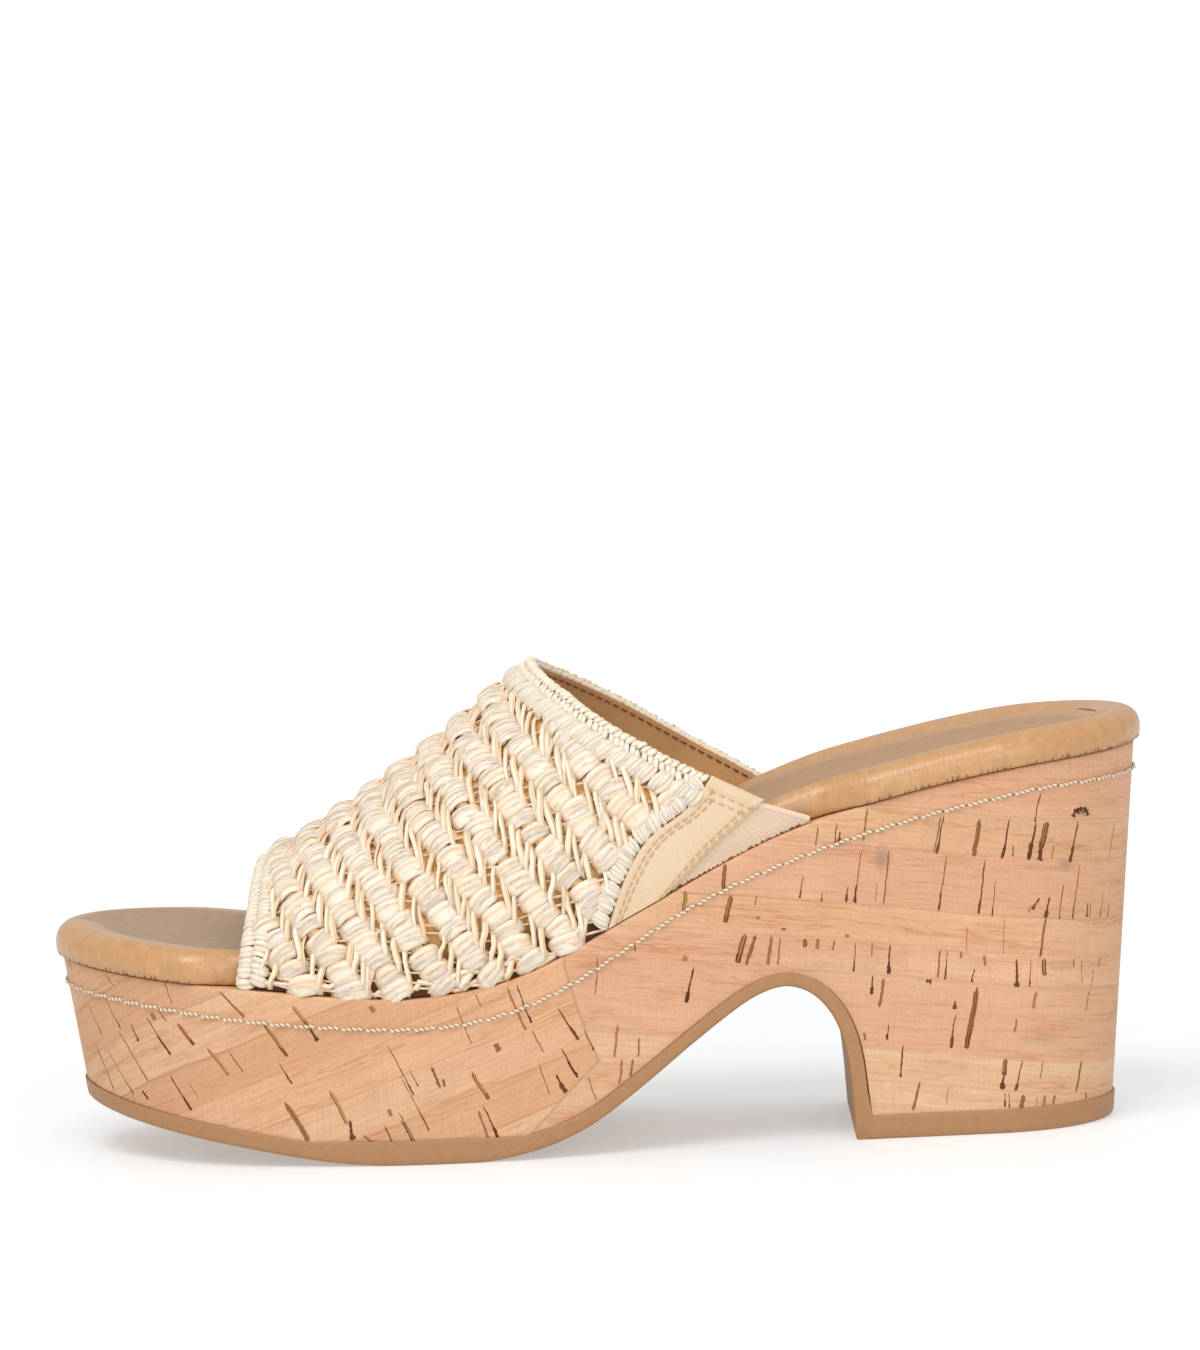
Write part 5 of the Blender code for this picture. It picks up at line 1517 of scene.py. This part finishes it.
def side_tab():
    rows, cols, middle, near_top = 60, 40, 20, 8
    row, col = np.arange(rows), np.arange(cols)
    grid = SideGrid(tab_front, tab_rear, rows, cols)
    top, foot = grid.down, grid.down[-1:] - grid.down
    front, rear = grid.across, grid.across[:, -1:] - grid.across
    round_off = np.clip(1 - np.minimum.reduce([top, front, rear]) / 0.8, 0, 1) ** 2
    # Rows of stitches by the distance from their edge, and how far from the top they start.
    seams = ((front, 2.3, 3.4), (front, 3.5, 5.2), (rear, 0.9, 3.4), (rear, 2.0, 5.2))
    sunk = sum(0.12 * np.exp(-((edge - distance) / 0.45) ** 2) for edge, distance, _ in seams)
    folded = 0.3 * (1 - ease(2.4, 3.0, top))
    outer = grid.face(TAB_FACE + folded - 0.55 * round_off - sunk)
    mesh, inside = wall_between("side_tab_leather", outer, grid.face(-1.0))
    made = piece_from("side_tab_leather", mesh, [TAB_SKIN, LINING_SKIN], "side_tab", slot="pale_leather")
    mesh.polygons.foreach_set("material_index", inside)
    paths = []
    at = np.linspace(0, rows - 1, 120)
    for edge, distance, start in seams:
        level = np.array([np.interp(distance, np.sort(line), np.argsort(line)) for line in edge])
        keep = at[(np.interp(at, row, top[:, middle]) > start)
                  & (np.interp(at, row, foot[:, middle]) > 0.6)]
        paths.append(grid.path(keep, np.interp(keep, row, level), TAB_FACE - 0.06))
    at = np.linspace(0, cols - 1, 80)
    for distance, inset in ((3.4, 0.9), (5.2, 2.0)):
        keep = at[(np.interp(at, col, front[near_top]) > inset + 1.4)
                  & (np.interp(at, col, rear[near_top]) > inset)]
        level = np.array([np.interp(distance, top[:, j], row) for j in col])
        paths.append(grid.path(np.interp(keep, col, level), keep, TAB_FACE - 0.06))
    # A thin dark line along the front edge: the leather's cut edge, darkened with painted shade.
    cut = Lines()
    cut.row(*grid.path(np.linspace(1, rows - 1, 60), np.full(60, 0.0), TAB_FACE - 0.2), 1.0, 0.2)
    cut.piece("side_tab_cut_edge", PLEATS, 0.34, 0.34, 5, slot="pale_leather")
    stitch = stitch_shape("tab_stitch", 1.75, 0.28, 1, 0.0, 0.3)
    sewn = stitch_rows("side_tab_stitches", paths, 2.15, stitch, TAB_THREAD)


def elastic():
    rows, cols = 40, 60
    row, col = np.arange(rows), np.arange(cols)
    grid = SideGrid(gore_front, gore_tip, rows, cols)
    outer = grid.face(0.0)
    mesh, _ = wall_between("elastic_band", outer, grid.face(-0.9), {"tone": np.zeros((rows, cols))})
    made = piece_from("elastic_band", mesh, [ELASTIC], "elastic_gore", slot="cream_elastic")
    # Ribs lie level with the band's top edge; the lower ones run out where they meet the rim.
    ribs = Lines()
    for number, distance in enumerate(np.arange(0.25, grid.down[-1].max(), 0.5)):
        level = np.array([np.interp(distance, grid.down[:, j], row, right=-1) for j in col])
        keep = level >= 0
        if keep.sum() > 4:
            thick, tone = (1.6, 1.0) if number < 2 else (1.0, 0.55 + 0.3 * (number % 2))
            ribs.row(*grid.path(level[keep], col[keep].astype(float), 0.06), thick, tone)
    laid = ribs.piece("elastic_ribs", ELASTIC, 0.50, 0.22, 6, "elastic_gore", slot="cream_elastic")
    # Dark nicks of painted shade along the foot, where the band goes down behind the cork.
    rng = np.random.default_rng(8)
    nick_shades = Lines()
    places = np.arange(2.0, 57.0, 1.9)
    for place in places + rng.normal(0, 0.5, len(places)):
        line = grid.down[:, int(place)]
        level = np.interp(line[-1] - rng.uniform(0.3, 0.9) * np.array([1, 0.5, 0]), line, row)
        points, lay = grid.path(level, np.full(3, place), 0.2)
        nick_shades.row(points, lay, rng.uniform(0.5, 1.1), rng.uniform(0, 0.6))
    nick_shades.piece("elastic_nicks", PLEATS, 0.6, 0.2, 5, slot="cream_elastic")


cork_wrap()
cork_slits()
rim_stitches()
sole()
cushion()
joint_pleats()
lining()
upper()
side_tab()
elastic()


def light(name, place, aim, size, power):
    lamp = bpy.data.lights.new(name, "AREA")
    lamp.shape, lamp.size, lamp.size_y, lamp.energy = "RECTANGLE", size[0], size[1], power
    made = bpy.data.objects.new(name, lamp)
    made.location = place
    made.rotation_euler = (Vector(aim) - Vector(place)).to_track_quat("-Z", "Y").to_euler()
    bpy.context.scene.collection.objects.link(made)


def studio():
    """White sweep in a light tent: one big light above towards the front, a larger, softer one in front and
    to the side, white all round.
    """
    mesh = bpy.data.meshes.new("floor")
    mesh.from_pydata([(-20, -3, 0), (20, -3, 0), (20, 40, 0), (-20, 40, 0)], [], [(0, 1, 2, 3)])
    floor = bpy.data.objects.new("floor", mesh)
    bpy.context.scene.collection.objects.link(floor)
    paper, tree, skin = new_material("white_paper_sweep")
    # The paper glows a little more away from the shoe, so that it stays white out to its end.
    place = add(tree, "ShaderNodeTexCoord", out="Object")
    away = add(tree, "ShaderNodeVectorMath", {0: place}, "Value", operation="LENGTH")
    glow = add(tree, "ShaderNodeMapRange", {"Value": away, "From Min": 0.15, "From Max": 1.1,
                                            "To Min": 0.36, "To Max": 0.64})
    # The paper's cool grey-blue base is a painted cast that offsets the warm light the cork throws into its
    # shadow.
    plug(tree, skin, {"Base Color": (0.55, 0.573, 0.583, 1), "Roughness": 0.6,
                      "Emission Color": (1, 1, 1, 1), "Emission Strength": glow})
    mesh.materials.append(paper)
    world = bpy.data.worlds.new("tent")
    world.use_nodes = True
    sky = world.node_tree.nodes["Background"]
    sky.inputs[0].default_value, sky.inputs[1].default_value = (1, 1, 1, 1), 0.74
    bpy.context.scene.world = world
    light("overhead", (-0.35, -0.75, 1.3), (0, 0, 0.05), (0.9, 0.7), 11.5)
    light("front_fill", (0.5, -1.8, 0.7), (0, 0, 0.05), (1.4, 1.0), 9)
    bpy.context.scene.view_settings.view_transform = "Standard"


def camera():
    lens = bpy.data.cameras.new("camera")
    lens.sensor_fit, lens.sensor_width, lens.lens = "HORIZONTAL", 36.0, 235.3967
    made = bpy.data.objects.new("camera", lens)
    made.location, made.rotation_euler = (-0.0005, -1.78361, 0.27947), (1.4732, 0.0347, -0.0048)
    bpy.context.scene.collection.objects.link(made)
    bpy.context.scene.camera = made


studio()
camera()
